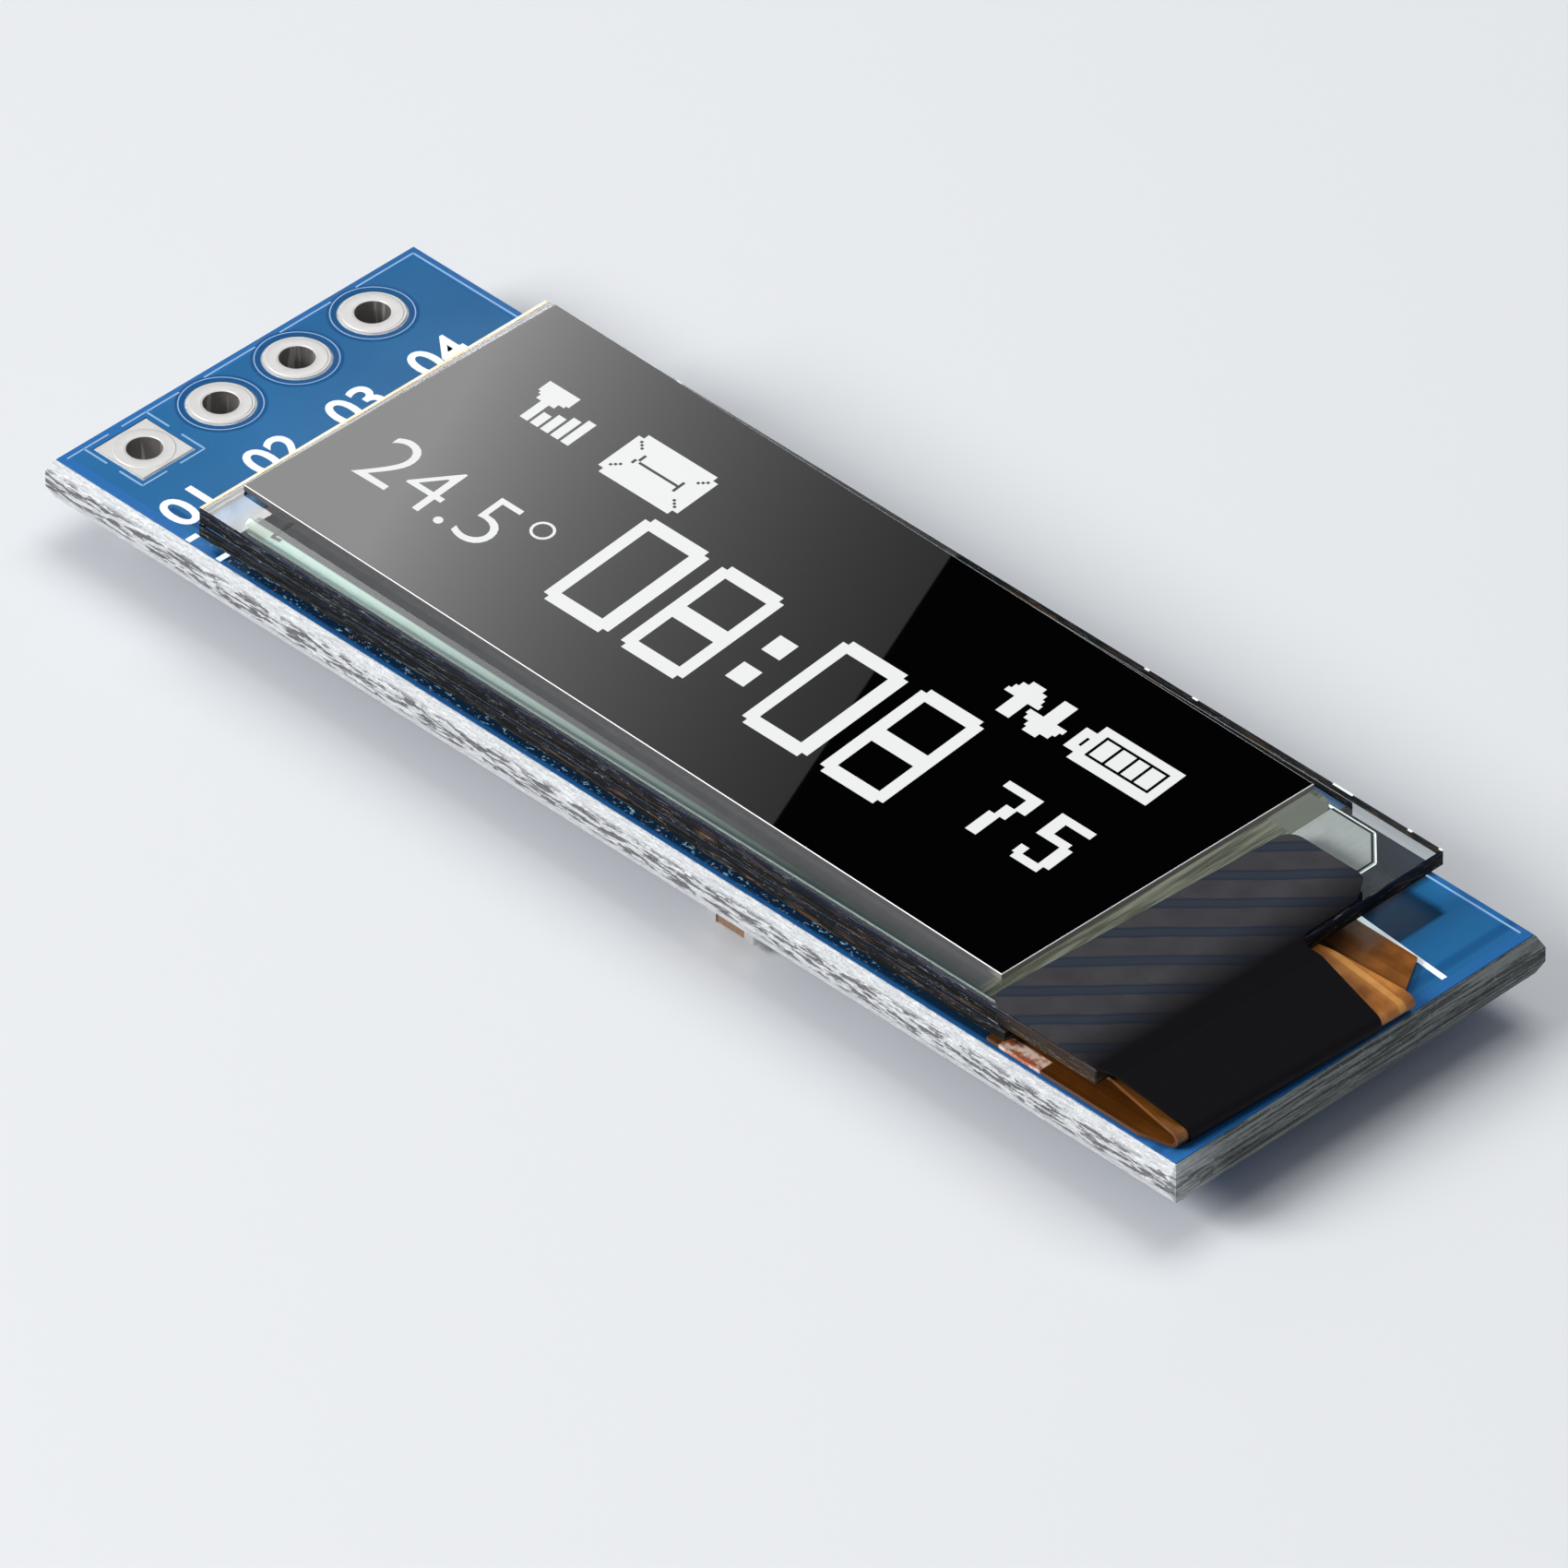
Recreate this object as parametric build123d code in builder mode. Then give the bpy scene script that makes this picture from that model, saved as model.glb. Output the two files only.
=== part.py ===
"""Small display module.

A narrow circuit board carries a bare glass display panel. The panel's flex cable comes out from under
the glass ledge, folds over and returns to a row of pads beneath the panel. Four plated holes at the
other end of the board take a header. X runs along the board towards the flex, Y across it, Z up. The
origin is the middle of the board's outline, on the plane that the underside parts rest on.
"""

import os
from math import asin, atan2, cos, degrees, hypot, radians, sin

from build123d import *

# Board: it reaches past the panel by the header's room, the flex's room and a margin along each side
panel_start = 5.0
flex_room = 2.7
board_side_room = 0.20
laminate_thickness = 1.14
mask_thickness = 0.03
mask_pullback = 0.03
score_web = 0.42
score_bevel = 0.17

# Copper and solder, measured from the face of the mask
copper_proud = 0.02
solder_film = 0.03
mask_clearance = 0.06

# Header holes
header_count = 4
header_pitch = 2.54
header_from_end = 1.25
header_shift = -0.39
header_drill_radius = 0.50
header_hole_radius = 0.45
header_pad_size = 1.65

# Display panel: front glass, seal, cap glass
glass_length = 30.3
glass_width = 11.6
glass_thickness = 0.45
glass_edge_chamfer = 0.03
panel_shift = -0.12
ledge_length = 3.0
cap_thickness = 0.35
seal_thickness = 0.05
seal_from_start = 0.95
seal_from_ledge = 0.15
seal_side_inset = 0.35
seal_width = 1.1
seal_corner_radius = 0.5
tape_gap = 0.35
tape_inset = 0.9
tape_from_pads = 0.25
pocket_margin = 0.25
pocket_depth = 0.15
getter_thickness = 0.10
getter_margin = 0.6
pixel_film = 0.02
pixel_margin = 0.25

# Contact tab film at the far corner of the ledge
tab_length = 2.0
tab_width = 1.4
tab_from_far_edge = 0.49
tab_chamfer = 0.8

# Polarizer on the front glass
polarizer_thickness = 0.18
polarizer_from_start = 0.36
polarizer_from_ledge = 0.84
polarizer_from_far_edge = 0.32
polarizer_from_near_edge = 1.03
polarizer_skew = 0.9

# Driver chip under the ledge
chip_length = 0.85
chip_width = 6.2
chip_thickness = 0.30
chip_from_cap = 0.35

# Flex cable
flex_thickness = 0.10
flex_skew = 2.5
fold_radius = 0.17
fold_from_end = 0.34
bond_length = 1.15
kink_overhang = 0.25
kink_radius = 1.0
flex_near_inset = 0.27
upper_near_recess = 0.18
lobe_reach = 0.27
lobe_from_fold = 1.0
upper_width = 7.15
neck_width = 7.55
lower_width = 8.95
shoulder_length = 0.85
shoulder_from_fold = 0.05
return_length = 6.3
outline_overrun = 1.0
strip_spare = 0.3

# Flex pads on the board
flex_pad_count = 14
flex_pad_pitch = 0.62
flex_pad_width = 0.35
flex_pad_length = 1.7
flex_pad_reach = 0.45
flex_solder_height = 0.10
flex_solder_toe = 0.05

# Shield tape over the ledge
shield_thickness = 0.06
shield_skew = 3.7
shield_over_cap = 0.35
shield_near_inset = 0.05
shield_tail_inset = 0.35
shield_past_flex = 0.32
shield_from_neck = 1.12
shield_head_inset = 0.60
shield_end_inset = 0.07
shield_end_from_far = 0.80
shield_corner_radius = 0.45
shield_kink_overhang = 0.10
shield_kink_radius = 0.30
shield_wrap = 45.0

# Chip capacitors and resistors on the underside
capacitor_length = 1.6
capacitor_width = 0.8
capacitor_height = 0.8
resistor_length = 1.6
resistor_width = 0.8
resistor_height = 0.45
end_band = 0.32
end_plating = 0.04
end_chamfer = 0.03
glaze_thickness = 0.03
pad_under = 0.38
pad_beyond = 0.38
fillet_share = 0.55
solder_toe_inset = 0.03

# Voltage regulator
regulator_length = 1.3
regulator_width = 2.9
regulator_height = 1.1
regulator_lift = 0.08
regulator_lead_pitch = 0.95
regulator_lead_width = 0.40
regulator_lead_length = 0.55
regulator_lead_foot = 0.35

# Diode
diode_length = 1.7
diode_width = 1.25
diode_height = 1.0
diode_lift = 0.05
diode_lead_width = 0.32
diode_lead_length = 0.42
diode_lead_foot = 0.28

lead_thickness = 0.12
lead_bend_radius = 0.10
lead_pad_beyond = 0.2
lead_pad_side = 0.1
lead_solder_toe = 0.16
lead_solder_heel = 0.1
mould_draft = 7.0

# The board's outline, and how far the first capacitor stands from its near edge
board_length = panel_start + glass_length + flex_room
board_width = glass_width + 2 * board_side_room
edge_capacitor_inset = 0.9

# Places of the underside parts: x, y and direction in degrees
capacitor_places = [
    (3.7, edge_capacitor_inset - board_width / 2, 0),
    (-12.4, -2.7, 90),
    (-12.4, 2.5, 90),
    (-4.4, -2.7, 90),
    (-4.4, 2.5, 90),
    (0.0, 3.9, 0),
    (4.2, 3.9, 0),
    (7.9, -3.2, 90),
]
resistor_places = [
    (-1.6, -0.9, 90),
    (0.4, -0.9, 90),
    (4.2, 1.7, 0),
    (4.2, -0.6, 0),
    (7.9, 2.4, 90),
]
regulator_place = (-8.4, -1.8)
diode_place = (12.2, 1.6, 90)

# Length, width and height of each kind of underside part
capacitor_size = (capacitor_length, capacitor_width, capacitor_height)
resistor_size = (resistor_length, resistor_width, resistor_height)
regulator_size = (regulator_length, regulator_width, regulator_height)
diode_size = (diode_length, diode_width, diode_height)

# Levels
part_seat = max(regulator_height, diode_height, capacitor_height)
board_bottom = part_seat + solder_film + copper_proud
laminate_bottom = board_bottom + mask_thickness
laminate_top = laminate_bottom + laminate_thickness
board_top = laminate_top + mask_thickness
cap_bottom = board_top + tape_gap
cap_top = cap_bottom + cap_thickness
glass_bottom = cap_top + seal_thickness
glass_top = glass_bottom + glass_thickness
copper_thickness = mask_thickness + copper_proud

# Places along and across the board
board_start = -board_length / 2
board_end = board_length / 2
header_x = board_start + header_from_end
glass_start = board_start + panel_start
glass_end = glass_start + glass_length
glass_near = panel_shift - glass_width / 2
glass_far = panel_shift + glass_width / 2
cap_end = glass_end - ledge_length
seal_end = cap_end - seal_from_ledge
tab_far = glass_far - tab_from_far_edge

# Outlines of the flex and of the tape over it
flex_near = glass_near + flex_near_inset
upper_far = flex_near + upper_width
neck_far = flex_near + neck_width
lower_far = flex_near + lower_width
lower_start = board_end - return_length
shield_near = glass_near + shield_near_inset
shield_tail_near = flex_near + shield_tail_inset
shield_start = cap_end - shield_over_cap
shield_head_end = glass_end - shield_head_inset
shield_head_far = lower_far + shield_past_flex
shield_tail_far = neck_far - shield_from_neck


def save(builder, node):
    """Label a finished piece and write it to its own file."""
    builder.part.label = node
    export_step(builder.part, f"parts/{node}.step")


def span(x_low, x_high, y_low, y_high, level):
    """Plane at a level whose origin is the middle of a span."""
    return Plane.XY.offset(level).move(Location(((x_low + x_high) / 2, (y_low + y_high) / 2, 0)))


def header_places():
    """Centres of the header holes, from the square pad to the last."""
    first = header_shift - header_pitch * (header_count - 1) / 2
    return [(header_x, first + header_pitch * i) for i in range(header_count)]


def flex_pad_grid():
    """Locations of the flex pads on the board."""
    middle = lower_start - flex_pad_reach + flex_pad_length / 2
    with Locations((middle, (flex_near + lower_far) / 2)):
        return GridLocations(0, flex_pad_pitch, 1, flex_pad_count).locations


def underside(x, y, direction, level=part_seat):
    """Plane that faces down at a part's place, with its X along the part."""
    turn = radians(direction)
    return Plane(origin=(x, y, level), x_dir=(cos(turn), sin(turn), 0), z_dir=(0, 0, -1))


def upright(x, y, direction, level=part_seat):
    """Plane that stands on a part's centre line, with its Y pointing down."""
    turn = radians(direction)
    return Plane(origin=(x, y, level), x_dir=(cos(turn), sin(turn), 0), z_dir=(-sin(turn), cos(turn), 0))


def hollow_arc(toe, peak):
    """Hollow solder surface from its toe on the pad to its peak on the metal."""
    run = peak[0] - toe[0]
    rise = peak[1] - toe[1]
    if abs(run) > abs(rise):
        return TangentArc(toe, peak, tangent=(run, 0))
    return TangentArc(peak, toe, tangent=(0, -rise))


def chip_pads(place, size):
    """Copper pads of a two-ended part: x, y, direction, length and width of each."""
    x, y, direction = place
    turn = radians(direction)
    reach = size[0] / 2 + (pad_beyond - pad_under) / 2
    length = pad_under + pad_beyond
    return [
        (x + side * reach * cos(turn), y + side * reach * sin(turn), direction, length, size[1])
        for side in (-1, 1)
    ]


def lead_feet(kind):
    """Feet of a leaded part's leads: x, y and direction in which each lead leaves the body."""
    if kind == "regulator":
        x, y = regulator_place
        reach = regulator_size[0] / 2
        return [
            (x - reach, y - regulator_lead_pitch, 180),
            (x - reach, y + regulator_lead_pitch, 180),
            (x + reach, y, 0),
        ]
    x, y, direction = diode_place
    turn = radians(direction)
    reach = diode_size[0] / 2
    return [
        (x + side * reach * cos(turn), y + side * reach * sin(turn), direction + (0 if side > 0 else 180))
        for side in (-1, 1)
    ]


def lead_pads(kind, lead_length, lead_foot, lead_width):
    """Copper pads under a leaded part's feet."""
    pads = []
    for x, y, direction in lead_feet(kind):
        turn = radians(direction)
        middle = lead_length - lead_foot / 2
        length = lead_foot + 2 * lead_pad_beyond
        width = lead_width + 2 * lead_pad_side
        pads.append((x + middle * cos(turn), y + middle * sin(turn), direction, length, width))
    return pads


def underside_pads_list():
    """Every copper pad on the underside, apart from the header's."""
    pads = []
    for place in capacitor_places:
        pads += chip_pads(place, capacitor_size)
    for place in resistor_places:
        pads += chip_pads(place, resistor_size)
    pads += lead_pads("regulator", regulator_lead_length, regulator_lead_foot, regulator_lead_width)
    pads += lead_pads("diode", diode_lead_length, diode_lead_foot, diode_lead_width)
    return pads


os.makedirs("parts", exist_ok=True)


# Laminate substrate: a web at mid thickness where the board was snapped off, scored above and below it
score_depth = (laminate_thickness - score_web) / 2
score_angle = degrees(atan2(score_bevel, score_depth))

with BuildPart() as substrate:
    with BuildSketch(Plane.XY.offset(laminate_bottom + score_depth)):
        Rectangle(board_length + 2 * score_bevel, board_width + 2 * score_bevel)
    extrude(amount=score_web)
    extrude(substrate.faces().sort_by(Axis.Z)[-1], amount=score_depth, taper=score_angle)
    extrude(substrate.faces().sort_by(Axis.Z)[0], amount=score_depth, taper=score_angle)
    with Locations(*[(x, y, laminate_top) for x, y in header_places()]):
        Hole(header_drill_radius)
save(substrate, "substrate")


def header_openings(growth):
    """Cut the openings over the header pads into the sketch being made."""
    square, *rounds = header_places()
    with Locations(square):
        Rectangle(header_pad_size + growth, header_pad_size + growth, mode=Mode.SUBTRACT)
    with Locations(*rounds):
        Circle((header_pad_size + growth) / 2, mode=Mode.SUBTRACT)


# Solder mask, top and underside, open over every pad
with BuildPart() as solder_mask_top:
    with BuildSketch(Plane.XY.offset(laminate_top)):
        Rectangle(board_length - 2 * mask_pullback, board_width - 2 * mask_pullback)
        header_openings(2 * mask_clearance)
        with Locations(*flex_pad_grid()):
            Rectangle(
                flex_pad_length + 2 * mask_clearance,
                flex_pad_width + 2 * mask_clearance,
                mode=Mode.SUBTRACT,
            )
    extrude(amount=mask_thickness)
save(solder_mask_top, "solder_mask_top")

with BuildPart() as solder_mask_bottom:
    with BuildSketch(Plane.XY.offset(board_bottom)):
        Rectangle(board_length - 2 * mask_pullback, board_width - 2 * mask_pullback)
        header_openings(2 * mask_clearance)
        for x, y, direction, length, width in underside_pads_list():
            with Locations(Location((x, y, 0), (0, 0, direction))):
                Rectangle(length + 2 * mask_clearance, width + 2 * mask_clearance, mode=Mode.SUBTRACT)
    extrude(amount=mask_thickness)
save(solder_mask_bottom, "solder_mask_bottom")


def pin_pad(x, y, square):
    """One plated header hole: a barrel through the laminate with a land on each face."""
    with BuildPart() as pad:
        with BuildSketch(Plane.XY.offset(laminate_bottom)):
            with Locations((x, y)):
                Circle(header_drill_radius)
        extrude(amount=laminate_thickness)
        for level in (laminate_bottom - copper_thickness, laminate_top):
            with BuildSketch(Plane.XY.offset(level)):
                with Locations((x, y)):
                    if square:
                        Rectangle(header_pad_size, header_pad_size)
                    else:
                        Circle(header_pad_size / 2)
            extrude(amount=copper_thickness)
        with Locations((x, y, laminate_top)):
            Hole(header_hole_radius)
    return pad


for number, (x, y) in enumerate(header_places(), start=1):
    save(pin_pad(x, y, square=number == 1), f"pin_pad_{number}")


# Flex pads and the solder that holds the flex's end on them
with BuildPart() as flex_pads:
    with BuildSketch(Plane.XY.offset(laminate_top)):
        with Locations(*flex_pad_grid()):
            Rectangle(flex_pad_length, flex_pad_width)
    extrude(amount=copper_thickness)
save(flex_pads, "flex_pads")

flex_seat = board_top + copper_proud + solder_film
pad_start = lower_start - flex_pad_reach
film_low = board_top + copper_proud

with BuildPart() as flex_solder:
    for place in flex_pad_grid():
        with BuildSketch(Plane(origin=(0, place.position.Y, 0), x_dir=(1, 0, 0), z_dir=(0, -1, 0))):
            with BuildLine():
                toe = (pad_start + flex_solder_toe, film_low)
                peak = (lower_start, flex_seat + flex_solder_height)
                hollow_arc(toe, peak)
                Polyline(
                    peak,
                    (lower_start, flex_seat),
                    (pad_start + flex_pad_length, flex_seat),
                    (pad_start + flex_pad_length, film_low),
                    toe,
                )
            make_face()
        extrude(amount=flex_pad_width / 2, both=True)
save(flex_solder, "flex_solder")


# Mounting tape, cap glass with its pocket, getter sheet
tape_start = glass_start + tape_inset
tape_end = min(cap_end - tape_inset, pad_start - tape_from_pads)
with BuildPart() as mounting_tape:
    with BuildSketch(span(tape_start, tape_end, glass_near, glass_far, board_top)):
        Rectangle(tape_end - tape_start, glass_width - 2 * tape_inset)
    extrude(amount=tape_gap)
save(mounting_tape, "mounting_tape")

seal_start = glass_start + seal_from_start
seal_length = seal_end - seal_start
seal_plane = span(seal_start, seal_start + seal_length, glass_near, glass_far, cap_top)
seal_span = glass_width - 2 * seal_side_inset
window_length = seal_length - 2 * seal_width
window_width = seal_span - 2 * seal_width

with BuildPart() as cap_glass:
    with BuildSketch(span(glass_start, cap_end, glass_near, glass_far, cap_bottom)):
        Rectangle(cap_end - glass_start, glass_width)
    extrude(amount=cap_thickness)
    with BuildSketch(seal_plane):
        Rectangle(window_length - 2 * pocket_margin, window_width - 2 * pocket_margin)
    extrude(amount=-pocket_depth, mode=Mode.SUBTRACT)
save(cap_glass, "cap_glass")

with BuildPart() as getter_sheet:
    with BuildSketch(seal_plane.offset(-pocket_depth)):
        Rectangle(window_length - 2 * getter_margin, window_width - 2 * getter_margin)
    extrude(amount=getter_thickness)
save(getter_sheet, "getter_sheet")

# Seal band between the glasses, rounded at its outer corners
with BuildPart() as seal_frame:
    with BuildSketch(seal_plane):
        RectangleRounded(seal_length, seal_span, seal_corner_radius)
        Rectangle(window_length, window_width, mode=Mode.SUBTRACT)
    extrude(amount=seal_thickness)
save(seal_frame, "seal_frame")

# Light-emitting film under the front glass
with BuildPart() as pixel_layer:
    with BuildSketch(seal_plane.offset(seal_thickness - pixel_film)):
        Rectangle(window_length - 2 * pixel_margin, window_width - 2 * pixel_margin)
    extrude(amount=pixel_film)
save(pixel_layer, "pixel_layer")

# Front glass with ground edges
with BuildPart() as front_glass:
    with BuildSketch(span(glass_start, glass_end, glass_near, glass_far, glass_bottom)):
        Rectangle(glass_length, glass_width)
    extrude(amount=glass_thickness)
    chamfer(front_glass.edges(), glass_edge_chamfer)
save(front_glass, "front_glass")

# Contact tab film on the ledge, its outer corner cut off
with BuildPart() as contact_tab:
    with BuildSketch(Plane.XY.offset(glass_bottom - pixel_film)):
        with BuildLine():
            Polyline(
                (seal_end, tab_far - tab_width),
                (cap_end + tab_length, tab_far - tab_width),
                (cap_end + tab_length, tab_far - tab_chamfer),
                (cap_end + tab_length - tab_chamfer, tab_far),
                (seal_end, tab_far),
                close=True,
            )
        make_face()
    extrude(amount=pixel_film)
save(contact_tab, "contact_tab")

# Polarizer, laid slightly askew
polarizer_length = cap_end - polarizer_from_ledge - glass_start - polarizer_from_start
polarizer_width = glass_width - polarizer_from_near_edge - polarizer_from_far_edge
polarizer_x = glass_start + polarizer_from_start + polarizer_length / 2
polarizer_y = glass_far - polarizer_from_far_edge - polarizer_width / 2
with BuildPart() as polarizer:
    with BuildSketch(Plane.XY.offset(glass_top)):
        with Locations((polarizer_x, polarizer_y)):
            Rectangle(polarizer_length, polarizer_width, rotation=-polarizer_skew)
    extrude(amount=polarizer_thickness)
save(polarizer, "polarizer")

# Driver chip under the ledge
chip_start = cap_end + chip_from_cap
with BuildPart() as driver_chip:
    with BuildSketch(span(chip_start, chip_start + chip_length, glass_near, glass_far, glass_bottom)):
        Rectangle(chip_length, chip_width)
    extrude(amount=-chip_thickness)
save(driver_chip, "driver_chip")


# Flex cable: a strip that leaves the ledge, folds over and returns to the board. It is swept along its
# side view, on a fold line that is slightly askew, and trimmed to a square outline for each layer.
fold_x = board_end - fold_from_end
lower_level = flex_seat + flex_thickness / 2
upper_level = glass_bottom - flex_thickness / 2
fold_level = lower_level + fold_radius
skew = radians(flex_skew)
fold_along = Vector(cos(skew), -sin(skew), 0)
fold_across = Vector(sin(skew), cos(skew), 0)
fold_origin = Vector(fold_x, (flex_near + neck_far) / 2, 0)
fold_side = Plane(origin=fold_origin, x_dir=fold_along, z_dir=-fold_across)
strip_width = 3 * board_width
strip_margin = strip_width * sin(skew) / 2 + strip_spare


def tangent_to_fold(kink, radius):
    """Where a line from a kink touches the fold's circle from above, and its slope in radians."""
    rise = fold_level - kink[1]
    distance = hypot(kink[0], rise)
    slope = atan2(rise, -kink[0]) + asin(radius / distance)
    reach = (distance**2 - radius**2) ** 0.5
    return (kink[0] + reach * cos(slope), kink[1] + reach * sin(slope)), slope


def strip_section(start, thickness):
    """Plane and size of a strip's cross-section at the start of its path."""
    origin = fold_origin + fold_along * start[0] + Vector(0, 0, start[1])
    return Plane(origin=origin, x_dir=fold_across, z_dir=fold_along), strip_width, thickness


with BuildPart() as flex_outline:
    with BuildSketch(Plane.XY.offset(fold_level)):
        with BuildLine():
            Polyline(
                (glass_end - bond_length, flex_near + upper_near_recess),
                (glass_end, flex_near + upper_near_recess),
                (fold_x, flex_near),
                (board_end + outline_overrun, flex_near),
                (board_end + outline_overrun, neck_far),
                (fold_x, neck_far),
                (glass_end, upper_far),
                (glass_end - bond_length, upper_far),
                close=True,
            )
        make_face()
    extrude(amount=glass_bottom - fold_level)
    with BuildSketch(Plane.XY.offset(fold_level)):
        with BuildLine():
            Polyline(
                (lower_start, flex_near - lobe_reach),
                (fold_x - lobe_from_fold, flex_near - lobe_reach),
                (fold_x, flex_near),
                (board_end + outline_overrun, flex_near),
                (board_end + outline_overrun, neck_far),
                (fold_x - shoulder_from_fold, neck_far),
                (fold_x - shoulder_from_fold - shoulder_length, lower_far),
                (lower_start, lower_far),
                close=True,
            )
        make_face()
    extrude(amount=flex_seat - fold_level)

with BuildPart() as flex_cable:
    with BuildLine(fold_side):
        kink = (glass_end + kink_overhang - fold_x, upper_level)
        touch, slope = tangent_to_fold(kink, fold_radius)
        start = (glass_end - bond_length - fold_x - strip_margin, upper_level)
        upper = FilletPolyline(start, kink, touch, radius=kink_radius)
        fold = JernArc(touch, (cos(slope), sin(slope)), fold_radius, -(180 + degrees(slope)))
        Line(fold @ 1, (lower_start - fold_x - strip_margin, lower_level))
    section, width, thickness = strip_section(start, flex_thickness)
    with BuildSketch(section):
        Rectangle(width, thickness)
    sweep()
    add(flex_outline.part, mode=Mode.INTERSECT)
save(flex_cable, "flex_cable")


# Shield tape: over the ledge, down across the gap and around the fold
shield_level = glass_top + shield_thickness / 2
shield_radius = fold_radius + flex_thickness / 2 + shield_thickness / 2
shield_lean = (shield_head_far - shield_near) * sin(radians(shield_skew)) / 2

with BuildPart() as shield_outline:
    with BuildSketch(Plane.XY.offset(board_bottom)):
        with BuildLine():
            Polyline(
                (shield_start - shield_lean, shield_near),
                (glass_end, shield_near),
                (fold_x, shield_tail_near),
                (board_end + outline_overrun, shield_tail_near),
                (board_end + outline_overrun, shield_tail_far),
                (glass_end - shield_end_inset, shield_tail_far),
                (glass_end - shield_end_inset, shield_head_far - shield_end_from_far),
                (shield_head_end, shield_head_far),
                (shield_start + shield_lean, shield_head_far),
                close=True,
            )
        make_face()
    extrude(amount=2 * (glass_top - board_bottom))
    corners = shield_outline.edges().filter_by(Axis.Z).sort_by(Axis.X)[:5]
    fillet(corners, shield_corner_radius)

with BuildPart() as shield_tape:
    with BuildLine(fold_side):
        kink = (glass_end + shield_kink_overhang - fold_x + strip_margin / 2, shield_level)
        touch, slope = tangent_to_fold(kink, shield_radius)
        start = (shield_start - fold_x - 2 * strip_margin, shield_level)
        FilletPolyline(start, kink, touch, radius=shield_kink_radius)
        JernArc(touch, (cos(slope), sin(slope)), shield_radius, -(90 + shield_wrap + degrees(slope)))
    section, width, thickness = strip_section(start, shield_thickness)
    with BuildSketch(section):
        Rectangle(width, thickness)
    sweep()
    add(shield_outline.part, mode=Mode.INTERSECT)
save(shield_tape, "shield_tape")


# Copper pads on the underside
with BuildPart() as underside_pads:
    with BuildSketch(Plane.XY.offset(board_bottom - copper_proud)):
        for x, y, direction, length, width in underside_pads_list():
            with Locations(Location((x, y, 0), (0, 0, direction))):
                Rectangle(length, width)
    extrude(amount=copper_thickness)
save(underside_pads, "underside_pads")


def two_ended_body(place, size):
    """Ceramic body of a chip part, hanging from its seat."""
    length, width, height = size
    with BuildPart() as body:
        with BuildSketch(underside(*place, level=part_seat - end_plating)):
            Rectangle(length - 2 * end_plating, width - 2 * end_plating)
        extrude(amount=height - 2 * end_plating)
    return body


def two_ended_caps(place, size):
    """Plated metal ends that wrap a chip part's body on five sides."""
    length, width, height = size
    with BuildPart() as caps:
        with BuildSketch(underside(*place)):
            Rectangle(length, width)
        extrude(amount=height)
        chamfer(caps.edges(), end_chamfer)
        with BuildSketch(underside(*place)):
            Rectangle(length - 2 * end_band, 2 * width)
        extrude(amount=height, mode=Mode.SUBTRACT)
        with BuildSketch(underside(*place, level=part_seat - end_plating)):
            Rectangle(length - 2 * end_plating, width - 2 * end_plating)
        extrude(amount=height - 2 * end_plating, mode=Mode.SUBTRACT)
    return caps


for number, place in enumerate(capacitor_places, start=1):
    save(two_ended_body(place, capacitor_size), f"capacitor_{number}_body")
    save(two_ended_caps(place, capacitor_size), f"capacitor_{number}_ends")

for number, place in enumerate(resistor_places, start=1):
    save(two_ended_body(place, resistor_size), f"resistor_{number}_body")
    save(two_ended_caps(place, resistor_size), f"resistor_{number}_ends")

# Dark glaze between the resistors' metal ends
with BuildPart() as resistor_glaze:
    for place in resistor_places:
        with BuildSketch(underside(*place, level=part_seat - resistor_size[2] + end_plating)):
            Rectangle(resistor_size[0] - 2 * end_band, resistor_size[1] - 2 * end_plating)
        extrude(amount=glaze_thickness)
save(resistor_glaze, "resistor_glaze")


def moulded_body(plane, size, lift):
    """Moulded package: its side walls draw in above and below the parting line."""
    length, width, height = size
    half = (height - lift) / 2
    with BuildPart() as body:
        with BuildSketch(plane.offset(lift + half)):
            Rectangle(length, width)
        extrude(amount=half, taper=mould_draft)
        with BuildSketch(plane.offset(lift + half)):
            Rectangle(length, width)
        extrude(amount=-half, taper=mould_draft)
    return body


def formed_leads(kind, lift, height, reach, foot, width):
    """Leads that leave the body at its parting line, bend to the board and end in flat feet."""
    parting = lift + (height - lift) / 2
    low = lead_thickness / 2
    with BuildPart() as leads:
        for x, y, direction in lead_feet(kind):
            with BuildLine(upright(x, y, direction)):
                FilletPolyline(
                    (0, parting),
                    (reach - foot, parting),
                    (reach - foot, low),
                    (reach, low),
                    radius=lead_bend_radius,
                )
            turn = radians(direction)
            start = Plane(
                origin=(x, y, part_seat - parting),
                x_dir=(-sin(turn), cos(turn), 0),
                z_dir=(cos(turn), sin(turn), 0),
            )
            with BuildSketch(start):
                Rectangle(width, lead_thickness)
            sweep()
    return leads


save(
    moulded_body(underside(*regulator_place, 0), regulator_size, regulator_lift),
    "regulator_body",
)
save(
    formed_leads(
        "regulator",
        regulator_lift,
        regulator_size[2],
        regulator_lead_length,
        regulator_lead_foot,
        regulator_lead_width,
    ),
    "regulator_leads",
)
save(moulded_body(underside(*diode_place), diode_size, diode_lift), "diode_body")
save(
    formed_leads("diode", diode_lift, diode_size[2], diode_lead_length, diode_lead_foot, diode_lead_width),
    "diode_leads",
)


def solder_profile(plane, toe, peak, heel):
    """Side view of one solder joint: a film back to the heel and a hollow fillet up to the peak."""
    with BuildSketch(plane) as profile:
        with BuildLine():
            hollow_arc(toe, peak)
            Polyline(peak, (peak[0], 0), (heel, 0), (heel, -solder_film), toe)
        make_face()
    return profile.sketch


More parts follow.
